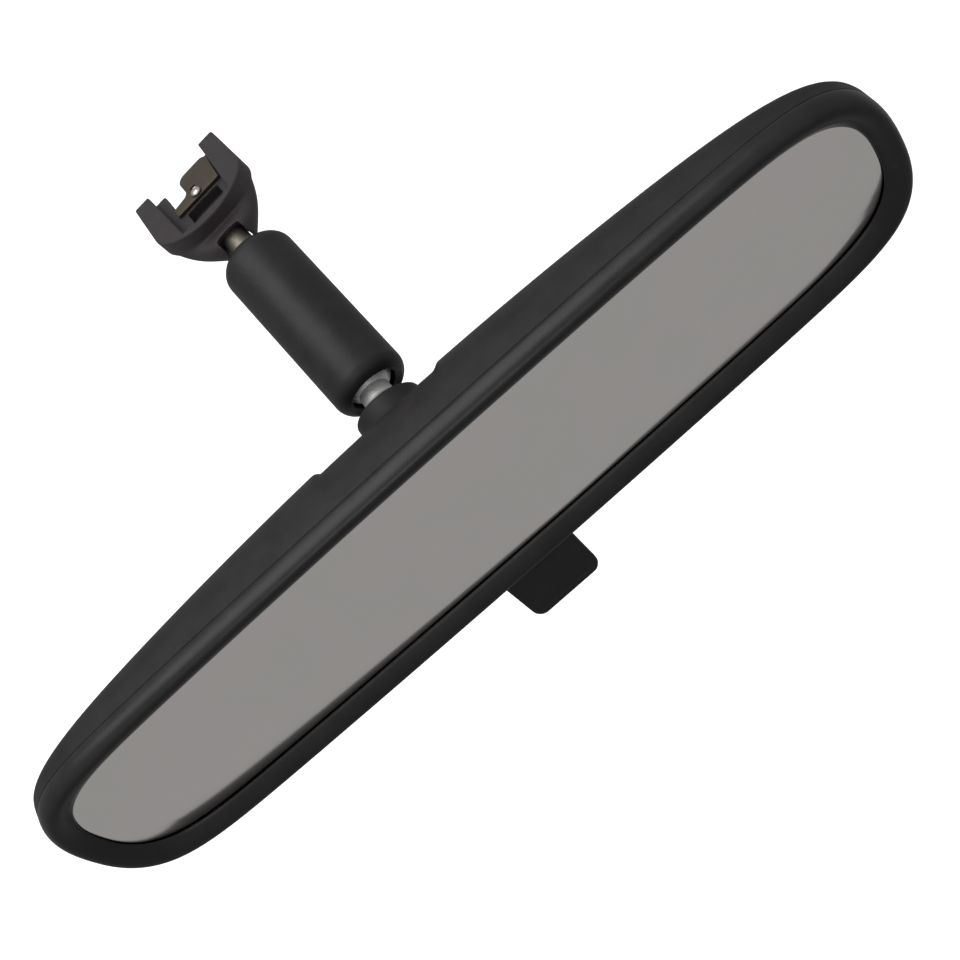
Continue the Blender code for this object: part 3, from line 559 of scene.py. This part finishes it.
def even_angles(count, weight_at):
    """Angles whose points stand evenly along the outline, closer where the weight is high."""
    fine = fine_angles()
    outline = [barrel_point(HALF_WIDTH, HALF_HEIGHT, a) for a in fine]
    weights = [sqrt((b[0] - a[0]) ** 2 + (b[1] - a[1]) ** 2) * weight_at(a[0])
               for a, b in zip(outline, outline[1:])]
    total, walked, angles = sum(weights), 0.0, []
    for angle, step in zip(fine, weights):
        if walked >= total * len(angles) / count:
            angles.append(angle)
        walked += step
    return angles[:count]


def end_weight(x):
    """Rings need their points in the round ends and few along the straight."""
    return END_WEIGHT if abs(x) > ENDS_FROM * HALF_WIDTH else 1.0


RING = even_angles(RING_POINTS, end_weight)


def barrel(offset, y, depth_of=None):
    """The view outline grown by offset, as a ring at depth y or at a depth worked out for each point."""
    points = [barrel_point(VIEW_HALF_WIDTH + offset, VIEW_HALF_HEIGHT + offset, a) for a in RING]
    return [(x, y if depth_of is None else depth_of(x, z), z) for x, z in points]


print("head", round(2 * HALF_WIDTH, 1), "x", round(2 * HALF_HEIGHT, 1), "mm")

# %% [markdown]
# ## The case
# The back is a shallow pillow: its sides run straight for a few millimetres, then round over. Rings are
# scaled towards the middle of the back as they go deeper. A dish 38 mm wide is pressed into it round the
# stud, with soft steps at its sides, and out of the dish rises a flared collar that the stud comes
# through. The rings carry more points where the dish needs them.

# %% The pillow, with its dish
CASE_DEPTH, CASE_DEPTH_FALL, CASE_BAND, CASE_POWER = 26.75, 14.4, 5.0, 2.5
CASE_WALL, BACK_WALL = 2.0, 3.4
SEAM_Y, GAP, SEAM_GAP = 1.9, 0.3, 0.08
RIM_INSET, RIM_RISE = 0.1, 0.12
LEVELS, LEVEL_POWER = 44, 0.9
DISH_WIDTH, DISH_DEPTH, DISH_STEP = 38.4, 2.2, 2.3
DISH_REACH, DISH_WEIGHT = 48, 3.0
STUD_X = (lower_ball.x - glass_middle.x) / MM


def smooth_step(value):
    t = min(max(value, 0.0), 1.0)
    return t * t * (3 - 2 * t)


def dish(x):
    """How far the dish is pressed in at this x."""
    inside = DISH_WIDTH / 2 + DISH_STEP / 2 - abs(x - STUD_X)
    return DISH_DEPTH * smooth_step(inside / DISH_STEP)


def case_weight(x):
    return DISH_WEIGHT if abs(x - STUD_X) < DISH_REACH else end_weight(x)


CASE_RING = even_angles(CASE_POINTS, case_weight)


def pillow_ring(level, shrink=0.0, back_shrink=0.0, ring=CASE_RING):
    """Level 0 is the front rim and 90 the middle of the back."""
    share = cos(radians(level)) ** (2 / CASE_POWER)
    back = sin(radians(level)) ** (2 / CASE_POWER)
    points = []
    for angle in ring:
        x, z = barrel_point(HALF_WIDTH - shrink, HALF_HEIGHT - shrink, angle)
        x, z = x * share, z * share
        fall = (CASE_DEPTH_FALL - back_shrink + shrink) * (x / (HALF_WIDTH - shrink)) ** 2
        depth = CASE_DEPTH - back_shrink - fall - CASE_BAND
        pressed = 0.0 if back_shrink else dish(x)
        points.append((x, CASE_BAND + (depth - pressed) * back, z))
    return points


def make_pillow():
    rings = [pillow_ring(90 * (i / LEVELS) ** LEVEL_POWER) for i in range(LEVELS)]
    rim = [(x, SEAM_Y + SEAM_GAP + RIM_RISE, z) for x, y, z in rings[0]]
    narrow, low = 1 - RIM_INSET / HALF_WIDTH, 1 - RIM_INSET / HALF_HEIGHT
    inset = [(x * narrow, SEAM_Y + SEAM_GAP, z * low) for x, y, z in rim]
    return finish_piece("case", loft([inset, rim] + rings), head, case_black, 30)


case = make_pillow()
print("pillow:", len(case.data.polygons), "faces")

# %% The collar, the hollow and the openings
COLLAR_FROM_BALL, COLLAR_RADIUS, COLLAR_BORE, COLLAR_SPREAD, COLLAR_DROP = 12.6, 9.6, 8.6, 8.2, 0.95
COLLAR_STEPS, COLLAR_TURNS, COLLAR_ROOT, COLLAR_SINK, RIM_ROUND = 22, 144, 4, 0.04, 0.5
BORE_EASE, BORE_LONG, PROBE_HEIGHT = 0.35, 20, 5
LEVER_WIDTH = 24.0
SLOT_HALF, SLOT_LOW, SLOT_HIGH = LEVER_WIDTH / 2 + 0.7, -40, -17
SLOT_FRONT, SLOT_BACK = SEAM_Y + 1.2, 15.5
HOLLOW_LEVELS = (0, 15, 30, 45, 60, 72, 82)


def make_collar(place):
    """A skirt that leaves the dish level with it and curls up to the rim, whatever the slope it starts on."""
    surface = BVHTree.FromObject(case, bpy.context.evaluated_depsgraph_get())
    downward = -stud_axis
    high, outer = -COLLAR_FROM_BALL, COLLAR_RADIUS + COLLAR_SPREAD

    def surface_height(radius, turn):
        start = place @ Vector((radius * cos(turn) * MM, radius * sin(turn) * MM, PROBE_HEIGHT * MM))
        return PROBE_HEIGHT - surface.ray_cast(start, downward)[3] / MM

    around = [2 * pi * i / COLLAR_TURNS for i in range(COLLAR_TURNS)]
    loops = [[(outer * cos(a), outer * sin(a), surface_height(outer, a) - COLLAR_ROOT) for a in around]]
    for k in range(COLLAR_STEPS + 1):
        turn = pi / 2 * k / COLLAR_STEPS
        radius = COLLAR_RADIUS + COLLAR_SPREAD * (1 - sin(turn))
        ring = []
        for a in around:
            ground = surface_height(radius, a) - COLLAR_SINK
            height = ground + (high - RIM_ROUND - ground) * (1 - cos(turn))
            ring.append((radius * cos(a), radius * sin(a), height))
        loops.append(ring)
    for inset, drop in ((0.12, 0.2), (0.35, 0.05), (0.7, 0.0)):
        rim = COLLAR_RADIUS - inset
        loops.append([(rim * cos(a), rim * sin(a), high - drop) for a in around])
    return finish_piece("collar", loft(loops), place, case_black, 30)


def make_case_openings():
    dropped = stud @ Matrix.Translation((0, COLLAR_DROP * MM, 0))
    carve(case, make_collar(dropped), "UNION")
    coarse = even_angles(COARSE_POINTS, end_weight)
    inside = [pillow_ring(level, CASE_WALL, BACK_WALL, coarse) for level in HOLLOW_LEVELS]
    inside.insert(0, [(x, SEAM_Y - 1, z) for x, y, z in inside[0]])
    carve(case, finish_piece("hollow", loft(inside), head, case_black))
    high = -COLLAR_FROM_BALL
    mouth = [(0, high - BORE_LONG), (COLLAR_BORE, high - BORE_LONG), (COLLAR_BORE, high - 0.4)]
    mouth += [(COLLAR_BORE + BORE_EASE, high), (COLLAR_BORE + BORE_EASE, high + 5), (0, high + 5)]
    carve(case, finish_piece("bore", revolve(mouth, 120), dropped, case_black))
    slot = block(-SLOT_HALF, SLOT_HALF, SLOT_FRONT, SLOT_BACK, SLOT_LOW, SLOT_HIGH)
    carve(case, finish_piece("slot", slot, head, case_black))
    case.data.set_sharp_from_angle(angle=radians(35))


make_case_openings()
show_as(case, "mirror_case", "head")

# %% [markdown]
# ## The bezel
# A ring with a low crest. Its section is drawn once and swept round the outline: a slope that climbs
# from the glass, a nearly flat front, and a round corner that runs straight into the case. The
# tongue that snaps into the case stays, because it closes the view into the seam.

# %% The bezel
TONGUE_IN, TONGUE_LONG = 1.3, 2.9
CREST = [(0.0, -0.3), (0.12, -0.62), (0.45, -1.05), (1.2, -1.8), (2.0, -2.5), (2.8, -3.05), (3.7, -3.45),
         (4.5, -3.55), (5.1, -3.4), (5.6, -3.05), (6.0, -2.5), (6.35, -1.75), (6.6, -0.9), (6.75, 0.0),
         (BEZEL_WIDTH, 1.0)]


def smooth_chain(points, steps):
    """A curve through the points, so that a short list makes a smooth section."""
    out = []
    chain = [points[0]] + points + [points[-1]]
    for a, b, c, d in zip(chain, chain[1:], chain[2:], chain[3:]):
        for i in range(steps):
            t = i / steps
            out.append(tuple(0.5 * (2 * q + (r - p) * t + (2 * p - 5 * q + 4 * r - s) * t * t
                                    + (3 * q - p - 3 * r + s) * t ** 3) for p, q, r, s in zip(a, b, c, d)))
    return out + [points[-1]]


def make_bezel():
    section = smooth_chain(CREST, 3)
    section += [(BEZEL_WIDTH, SEAM_Y - 0.12), (BEZEL_WIDTH - 0.1, SEAM_Y)]
    tongue_out, tongue_end = BEZEL_WIDTH - CASE_WALL - GAP, SEAM_Y + TONGUE_LONG
    section += [(tongue_out, SEAM_Y), (tongue_out, tongue_end), (TONGUE_IN, tongue_end), (TONGUE_IN, -GAP)]
    made = finish_piece("bezel", loft([barrel(*point) for point in section], True), head, bezel_black, 50)
    low = -HALF_HEIGHT - 2
    gap = block(-SLOT_HALF, SLOT_HALF, SEAM_Y + 0.2, SEAM_Y + 6, low, low + 10)
    carve(made, finish_piece("tongue_gap", gap, head, bezel_black))
    made.data.set_sharp_from_angle(angle=radians(50))
    return made


bezel = make_bezel()
show_as(bezel, "front_bezel", "head")

# %% [markdown]
# ## The glass
# The front is flat, with a ground bevel all round its edge, and the back leans, so the wedge is thicker
# at the top. Flipping the tab tilts it and swaps the bright silver for the dim front reflection.

# %% The glass
GLASS_LAP, GLASS_THIN, GLASS_THICK = 1.0, 3.0, 5.0
GROUND_EDGE = [(0.5, 0.0), (0.2, 0.12), (0.0, 0.5)]  # in from the edge, behind the front


def glass_back(x, z):
    return (GLASS_THIN + GLASS_THICK) / 2 + (GLASS_THICK - GLASS_THIN) / 2 * z / VIEW_HALF_HEIGHT


def make_glass():
    loops = [barrel(GLASS_LAP - inset, y) for inset, y in GROUND_EDGE]
    loops.append(barrel(GLASS_LAP, 0.0, glass_back))
    return finish_piece("glass", loft(loops), head, silvered_glass, 20)


glass = make_glass()
show_as(glass, "prism_glass", "head")

# %% [markdown]
# ## The day and night tab
# A moulded blade that swings on a pin inside the case. It is lofted from its root to its tip out of
# rounded rectangles. The corners at the tip come from narrowing the last sections along an arc. The front
# is dished a little inside its border, which is where a finger pulls it, and a low ridge crosses it above.

# %% The tab
lever_pin = Vector(joints["lever_flip"]["pos_m"])
lever_frame = Matrix.Translation(lever_pin)
LEVER_THICK, LEVER_CORNER, LEVER_TAPER, LEVER_EDGE = 2.4, 3.4, 0.9, 0.7
TIP_THINNING, TIP_ROUND = 1.4, 0.8
FINGER_DISH, FINGER_BORDER, FINGER_END, EASE = 0.3, 1.6, 16.0, 0.8
RIDGE, RIDGE_PLACE, RIDGE_REACH = 0.25, 17.4, 0.9
BARREL_RADIUS, BARREL_INSET, PIN_BORE = 2.6, 0.4, 1.15
STOPS, CORNER_STOPS = 70, 12
LEVER_LINE = [(0.2, -0.8), (-1.2, -3.4), (-4.6, -9.2), (-6.0, -12.6), (-10.8, -30.9)]
FRONT_POINTS = 36


def lever_section(half, thick, dished, ridge):
    """A rounded rectangle in (x, out of the front) coordinates, with its front dished or ridged."""
    r = min(LEVER_EDGE, thick / 2 - 0.01)
    points = arc(half - r, thick / 2 - r, r, 0, 90, 5)[:-1]
    for i in range(FRONT_POINTS + 1):
        x = (half - r) * (1 - 2 * i / FRONT_POINTS)
        sunk = dished * smooth_step((half - 1.5 - abs(x)) / EASE)
        points.append((x, thick / 2 - sunk + ridge * smooth_step((half - 1.0 - abs(x)) / 1.0)))
    points += arc(-half + r, thick / 2 - r, r, 90, 180, 5)[1:]
    points += arc(-half + r, -thick / 2 + r, r, 180, 270, 5)
    return points + arc(half - r, -thick / 2 + r, r, 270, 360, 5)[:-1]


def round_off(left, radius):
    """How far a corner of this radius has drawn in, when this much of the length is left."""
    return 1 - sqrt(max(1 - (1 - min(left / radius, 1.0)) ** 2, 0.0))


def cylinder(radius, half_length, steps):
    return revolve([(0, -half_length), (radius, -half_length), (radius, half_length), (0, half_length)], steps)


def make_tab():
    line = smooth_chain(LEVER_LINE, 16)
    lengths = [0.0]
    for a, b in zip(line, line[1:]):
        lengths.append(lengths[-1] + sqrt((b[0] - a[0]) ** 2 + (b[1] - a[1]) ** 2))
    total = lengths[-1]
    stops = [total * i / STOPS for i in range(STOPS)]
    stops += [total - LEVER_CORNER * (1 - sin(pi / 2 * i / CORNER_STOPS)) for i in range(CORNER_STOPS + 1)]
    loops = []
    for stop in sorted(set(round(s, 4) for s in stops)):
        i = max(k for k in range(len(lengths)) if lengths[k] <= stop + 1e-9)
        i = min(i, len(line) - 2)
        share = (stop - lengths[i]) / (lengths[i + 1] - lengths[i])
        y = line[i][0] + (line[i + 1][0] - line[i][0]) * share
        z = line[i][1] + (line[i + 1][1] - line[i][1]) * share
        along = (Vector(line[i + 1]) - Vector(line[i])).normalized()
        left = total - stop
        half = LEVER_WIDTH / 2 - LEVER_TAPER * stop / total - LEVER_CORNER * round_off(left, LEVER_CORNER)
        thick = LEVER_THICK - TIP_THINNING * round_off(left, TIP_ROUND)
        dished = FINGER_DISH * smooth_step((left - FINGER_BORDER) / EASE)
        dished *= smooth_step((FINGER_END - left) / EASE)
        ridge = RIDGE * smooth_step(1 - abs(left - RIDGE_PLACE) / RIDGE_REACH)
        section = lever_section(half, thick, dished, ridge)
        loops.append([(x, y + out * along.y, z - out * along.x) for x, out in section])
    blade = finish_piece("day_night_tab", loft(loops), lever_frame, lever_black, 40)
    sideways = lever_frame @ Matrix.Rotation(radians(90), 4, "Y")
    root = cylinder(BARREL_RADIUS, LEVER_WIDTH / 2 - BARREL_INSET, 48)
    carve(blade, finish_piece("barrel", root, sideways, lever_black), "UNION")
    carve(blade, finish_piece("pin_bore", cylinder(PIN_BORE, LEVER_WIDTH, 32), sideways, lever_black))
    return blade


tab = make_tab()
show_as(tab, "day_night_lever", "lever")

# %% [markdown]
# ## The arm
# The arm is one drawn tube, closed in round both balls until only a mouth is left. It is a turned
# profile, the same at both ends: a straight barrel, a round shoulder, a lip, and a bore that follows the
# ball inside.

# %% The tube
BALL_RADIUS = 8.0
BALL_SPACING = (upper_ball - lower_ball).length / MM
TUBE_RADIUS, TUBE_BORE, TUBE_SHOULDER, TUBE_END, MOUTH_ANGLE = 10.65, 9.25, 4.5, 8.0, 46.0
LIP_SETBACK, LIP_ROUND = 0.2, 0.3


def tube_end_profile():
    centre_r, centre_z = TUBE_RADIUS - TUBE_SHOULDER, -TUBE_END + TUBE_SHOULDER
    mouth = radians(MOUTH_ANGLE)
    lip = (TUBE_END - LIP_SETBACK) * sin(mouth) / cos(mouth)
    last = acos((lip - centre_r) / TUBE_SHOULDER)
    outer = [(TUBE_RADIUS, BALL_SPACING / 2)]
    shoulder = [(centre_r + TUBE_SHOULDER * cos(last * i / 20), centre_z - TUBE_SHOULDER * sin(last * i / 20))
                for i in range(21)]
    outer += shoulder[:-1]
    angles = [mouth + (pi / 2 - mouth) * i / 16 for i in range(17)]
    inner = [(TUBE_BORE * sin(a), -TUBE_BORE * cos(a)) for a in angles] + [(TUBE_BORE, BALL_SPACING / 2)]
    lip_points = rounded([outer[-1], shoulder[-1], inner[0], inner[1]], LIP_ROUND, 3)[4:-4]
    return outer, lip_points, inner[1:]


def make_tube():
    outer, lip, inner = tube_end_profile()
    low = outer + lip + inner
    high = [(r, BALL_SPACING - z) for r, z in reversed(low)]
    return finish_piece("arm_barrel", revolve(high[1:-1] + low, 160), arm, tube_coat, 50)


tube = make_tube()
show_as(tube, "arm_tube", "arm")

# %% [markdown]
# ## The two studs
# Each stud is turned in one piece with its ball. The lower one is bright: ball, waist, flare, shank and a
# plate to screw down. The upper one is a plain neck with a duller, olive finish. A profile runs down from
# the ball's far side, so its heights are below the ball's centre.

# %% The studs
LOWER_NECK, UPPER_NECK, FLARE, SHANK = 4.4, 3.8, 7.3, 5.6
WAIST_END, FLARE_LONG, FLARE_LOW, FLARE_END, SHANK_START = 9.9, 2.2, 12.6, 18.7, 20.4
PLATE_END, PLATE_THICK, PLATE_HALF_LONG, PLATE_HALF_WIDE = 33.4, 2.4, 12.9, 6.5
NECK_LENGTH, NECK_PLUG, NECK_EASE = 15.7, 3.8, 0.5


def ball_profile(neck_radius, neck_end):
    start = acos(neck_radius / BALL_RADIUS)
    points = [(0, BALL_RADIUS)]
    for i in range(1, 41):
        angle = pi / 2 - (pi / 2 + start) * i / 40
        points.append((BALL_RADIUS * cos(angle), BALL_RADIUS * sin(angle)))
    return points + [(neck_radius, -neck_end)]


def make_lower_stud():
    profile = ball_profile(LOWER_NECK, WAIST_END)
    spread, low = FLARE - LOWER_NECK, -PLATE_END + 1.8
    profile += [(LOWER_NECK + spread * (1 - cos(a)), -WAIST_END - FLARE_LONG * sin(a))
                for a in (pi / 2 * i / 14 for i in range(1, 15))]
    profile += [(FLARE, -FLARE_LOW), (FLARE, -FLARE_END), (FLARE - 0.3, -FLARE_END - 0.3)]
    profile += [(SHANK, -SHANK_START), (SHANK, low), (0, low)]
    made = finish_piece("bright_stud", revolve(profile, 128), stud, bright_cast, 50)
    plate = block(-PLATE_HALF_LONG, PLATE_HALF_LONG, -PLATE_HALF_WIDE, PLATE_HALF_WIDE,
                  -PLATE_END, -PLATE_END + PLATE_THICK)
    carve(made, finish_piece("stud_plate", plate, stud, bright_cast), "UNION")
    made.data.set_sharp_from_angle(angle=radians(50))
    return made


def make_upper_stud():
    end = NECK_LENGTH + NECK_PLUG
    profile = [(r, -z) for r, z in ball_profile(UPPER_NECK, end)]
    profile += [(UPPER_NECK - NECK_EASE, end + NECK_EASE), (0, end + NECK_EASE)]
    return finish_piece("olive_stud", revolve(profile, 96), neck, olive_steel, 50)


show_as(make_lower_stud(), "lower_ball_stud", "bracket")
show_as(make_upper_stud(), "upper_ball_stud", "foot")

# %% [markdown]
# ## The foot
# The foot is one die casting: a U-shaped plate that slides on the button, and a hopper below it that
# gathers into the socket of the neck. Castings have no sharp edges, so the piece is put together from
# plain solids and then melted: a voxel remesh turns it into an even skin, and a little smoothing rounds
# every edge by the same small amount.

# %% The foot
FOOT_HALF, FOOT_END, FOOT_THICK, FOOT_TAPER, FOOT_BEND = 16.2, 16.0, 5.6, 0.5, 12.0
CHANNEL_WIDE, CHANNEL_NARROW, CHANNEL_LIP, CHANNEL_DEPTH, UNDERCUT = 10.5, 8.8, 1.5, 3.9, 1.1
CHANNEL_CLOSED = 2.2 - FOOT_END
SOCKET_RADIUS, SOCKET_BOW, HOPPER_RINGS, HOPPER_TOP = 5.0, 1.6, 24, 6.0
BORE_END, THROAT_HALF = 4.6, 4.1
EASED_EDGE = [(-0.5, 0.0), (-0.15, -0.15), (0, -0.5), (0, -FOOT_THICK)]  # growth and height
VOXEL, SOFTENING, SOFT_ROUNDS = 0.00026, 0.5, 9


def foot_outline(grow):
    """Straight sides with a slight taper and an elliptic closed end."""
    bend, half = FOOT_BEND - FOOT_END, FOOT_HALF + grow
    points = [(FOOT_HALF - FOOT_TAPER + grow, FOOT_END + grow), (half, bend)]
    turns = [-pi * i / 48 for i in range(1, 48)]
    points += [(half * cos(a), bend + (FOOT_BEND + grow) * sin(a)) for a in turns]
    return points + [(-half, bend), (-FOOT_HALF + FOOT_TAPER - grow, FOOT_END + grow)]


def channel(grow, low, high, start):
    sides = [(-CHANNEL_NARROW - grow, start), (CHANNEL_NARROW + grow, start)]
    sides += [(CHANNEL_WIDE + grow, FOOT_END + 3), (-CHANNEL_WIDE - grow, FOOT_END + 3)]
    return prism(sides, low, high)


def hopper():
    """Rings that shrink from the closed half of the plate to the socket, along a curve that bows outwards."""
    to_foot = foot.inverted() @ neck
    socket = to_foot @ Vector((0, 0, (NECK_LENGTH - NECK_PLUG) * MM)) / MM
    up = Vector((0, -cos(NECK_LEAN), sin(NECK_LEAN)))
    top = [Vector((x, min(y, HOPPER_TOP), -FOOT_THICK + 1.0)) for x, y in foot_outline(-0.25)]
    middle = sum(top, Vector()) / len(top)
    loops = []
    for k in range(HOPPER_RINGS + 1):
        t = k / HOPPER_RINGS
        ring = []
        for point in top:
            way = (point - middle).xy.normalized()
            end = socket + Vector((SOCKET_RADIUS * way.x, 0, 0)) - up * SOCKET_RADIUS * way.y
            outward = Vector((0.9 * way.x, 0.9 * way.y, -0.9 * way.y - 0.2)) * sin(pi * t) * SOCKET_BOW
            ring.append(point.lerp(end, t) + outward)
        loops.append(ring)
    return loft(loops)


def make_foot():
    plate = loft([[(x, y, z) for x, y in foot_outline(grow)] for grow, z in EASED_EDGE])
    made = finish_piece("cast_foot", plate, foot, foot_coat)
    carve(made, finish_piece("hopper", hopper(), foot, foot_coat), "UNION")
    # Lips, undercut, open end and the window over the neck.
    cuts = [channel(0, -CHANNEL_LIP - 0.2, 1, CHANNEL_CLOSED + 1.6),
            channel(UNDERCUT, -CHANNEL_DEPTH, -CHANNEL_LIP, CHANNEL_CLOSED + 2.6),
            block(-7.0, 8.4, 5.0, FOOT_END + 3, -FOOT_THICK - 12, 1),
            block(-5.0, 6.4, CHANNEL_CLOSED + 0.9, 0.0, -7.4, 1)]
    for cutter in cuts:
        carve(made, finish_piece("channel", cutter, foot, foot_coat))
    radius, end = UPPER_NECK + GAP, NECK_LENGTH + BORE_END
    bore = revolve([(0, 5), (radius, 5), (radius, end), (0, end)], 64)
    carve(made, finish_piece("neck_bore", bore, neck, foot_coat))
    for low, high, end in ((0, 14, NECK_LENGTH + 1.0), (-14, 0, NECK_LENGTH - 0.4)):
        throat = block(-THROAT_HALF, THROAT_HALF, low, high, 5, end)
        carve(made, finish_piece("throat", throat, neck, foot_coat))
    melt = made.modifiers.new("melt", "REMESH")
    melt.mode, melt.voxel_size = "VOXEL", VOXEL
    soft = made.modifiers.new("soft", "SMOOTH")
    soft.factor, soft.iterations = SOFTENING, SOFT_ROUNDS
    apply_steps(made)
    made.data.shade_smooth()
    return made


show_as(make_foot(), "windshield_foot", "foot")

# %% [markdown]
# ## The spring clip and its dimple
# A stamped steel plate lies on the channel's floor. Its tongue stands up on one side, a small hole is
# punched near the middle, and below the hole a bright dimple snaps into the button's dent. Stamping
# leaves a rounded edge on the punch side, which a small bevel gives.

# %% The clip
CLIP_LOW, CLIP_THICK, CLIP_EDGE = -CHANNEL_DEPTH + GAP, 0.8, 0.00012
PUNCH_RADIUS, PUNCH_Y = 1.0, 6
DIMPLE_RADIUS, DIMPLE_EDGE, DIMPLE_HEIGHT, DIMPLE_Y = 1.7, 0.12, 0.9, 2.4


def bevel(piece, width):
    step = piece.modifiers.new("bevel", "BEVEL")
    step.width, step.segments, step.limit_method, step.angle_limit = width, 3, "ANGLE", radians(40)
    apply_steps(piece)
    piece.data.shade_smooth()
    piece.data.set_sharp_from_angle(angle=radians(45))


def make_clip():
    outline = [(-7.4, 0.6), (8.6, 0.6), (9.5, 11.5)] + arc(7.1, 12.4, 2.4, 0, 90, 14)
    outline += arc(1.6, 11.8, 3.0, 90, 180, 14)
    outline += rounded([(-1.4, 8.6), (-1.4, 6.6), (-2.4, 5.4), (-7.2, 4.6)], 1.2, 5)[6:18]
    outline.append((-7.2, 4.6))
    made = finish_piece("spring_clip", prism(outline, CLIP_LOW, CLIP_LOW + CLIP_THICK), foot, clip_steel, 40)
    hole = revolve([(0, CLIP_LOW - 1), (PUNCH_RADIUS, CLIP_LOW - 1), (PUNCH_RADIUS, CLIP_LOW + 2),
                    (0, CLIP_LOW + 2)], 48)
    punch_place = foot @ Matrix.Translation((MM, PUNCH_Y * MM, 0))
    carve(made, finish_piece("punch", hole, punch_place, clip_steel))
    bevel(made, CLIP_EDGE)
    return made


def make_dimple():
    base = CLIP_LOW + CLIP_THICK + GAP
    edge, radius = base + DIMPLE_EDGE, DIMPLE_RADIUS - 0.02
    dome = [(0.0, base), (DIMPLE_RADIUS, base), (radius, edge)]
    dome += [(radius * cos(a), edge + DIMPLE_HEIGHT * sin(a)) for a in (pi / 2 * i / 16 for i in range(1, 16))]
    dome.append((0.0, edge + DIMPLE_HEIGHT))
    place = foot @ Matrix.Translation((MM, DIMPLE_Y * MM, 0))
    return finish_piece("dimple", revolve(dome, 64), place, dimple_steel, 50)


show_as(make_clip(), "button_clip", "foot")
show_as(make_dimple(), "clip_rivet", "foot")

# %% [markdown]
# ## Pieces kept from the engineering model
# What is inside the head and the arm keeps its engineering shape and only gets a finish. So do the pad
# behind the glass and the nylon cups and rings that grip the balls.

# %% Finishes for kept pieces
KEPT = {
    "backing_pad": dark_foam, "tilt_pin": plain_steel, "lever_pin": plain_steel,
    "pin_clip_left": plain_steel, "pin_clip_right": plain_steel, "toggle_spring": spring_steel,
    "spring_screw": plain_steel, "tilt_bracket": plain_steel, "bracket_screw_left": plain_steel,
    "bracket_screw_right": plain_steel, "arm_spring": spring_steel, "upper_ball_cup": natural_nylon,
    "upper_ball_ring": natural_nylon, "lower_ball_cup": natural_nylon, "lower_ball_ring": natural_nylon,
}


def give_finish(node, finish):
    obj = frame["nodes"][node]
    obj.data.materials.clear()
    obj.data.materials.append(finish)
    for face in obj.data.polygons:
        face.material_index = 0


for node, finish in KEPT.items():
    give_finish(node, finish)
print(len(KEPT), "pieces kept")
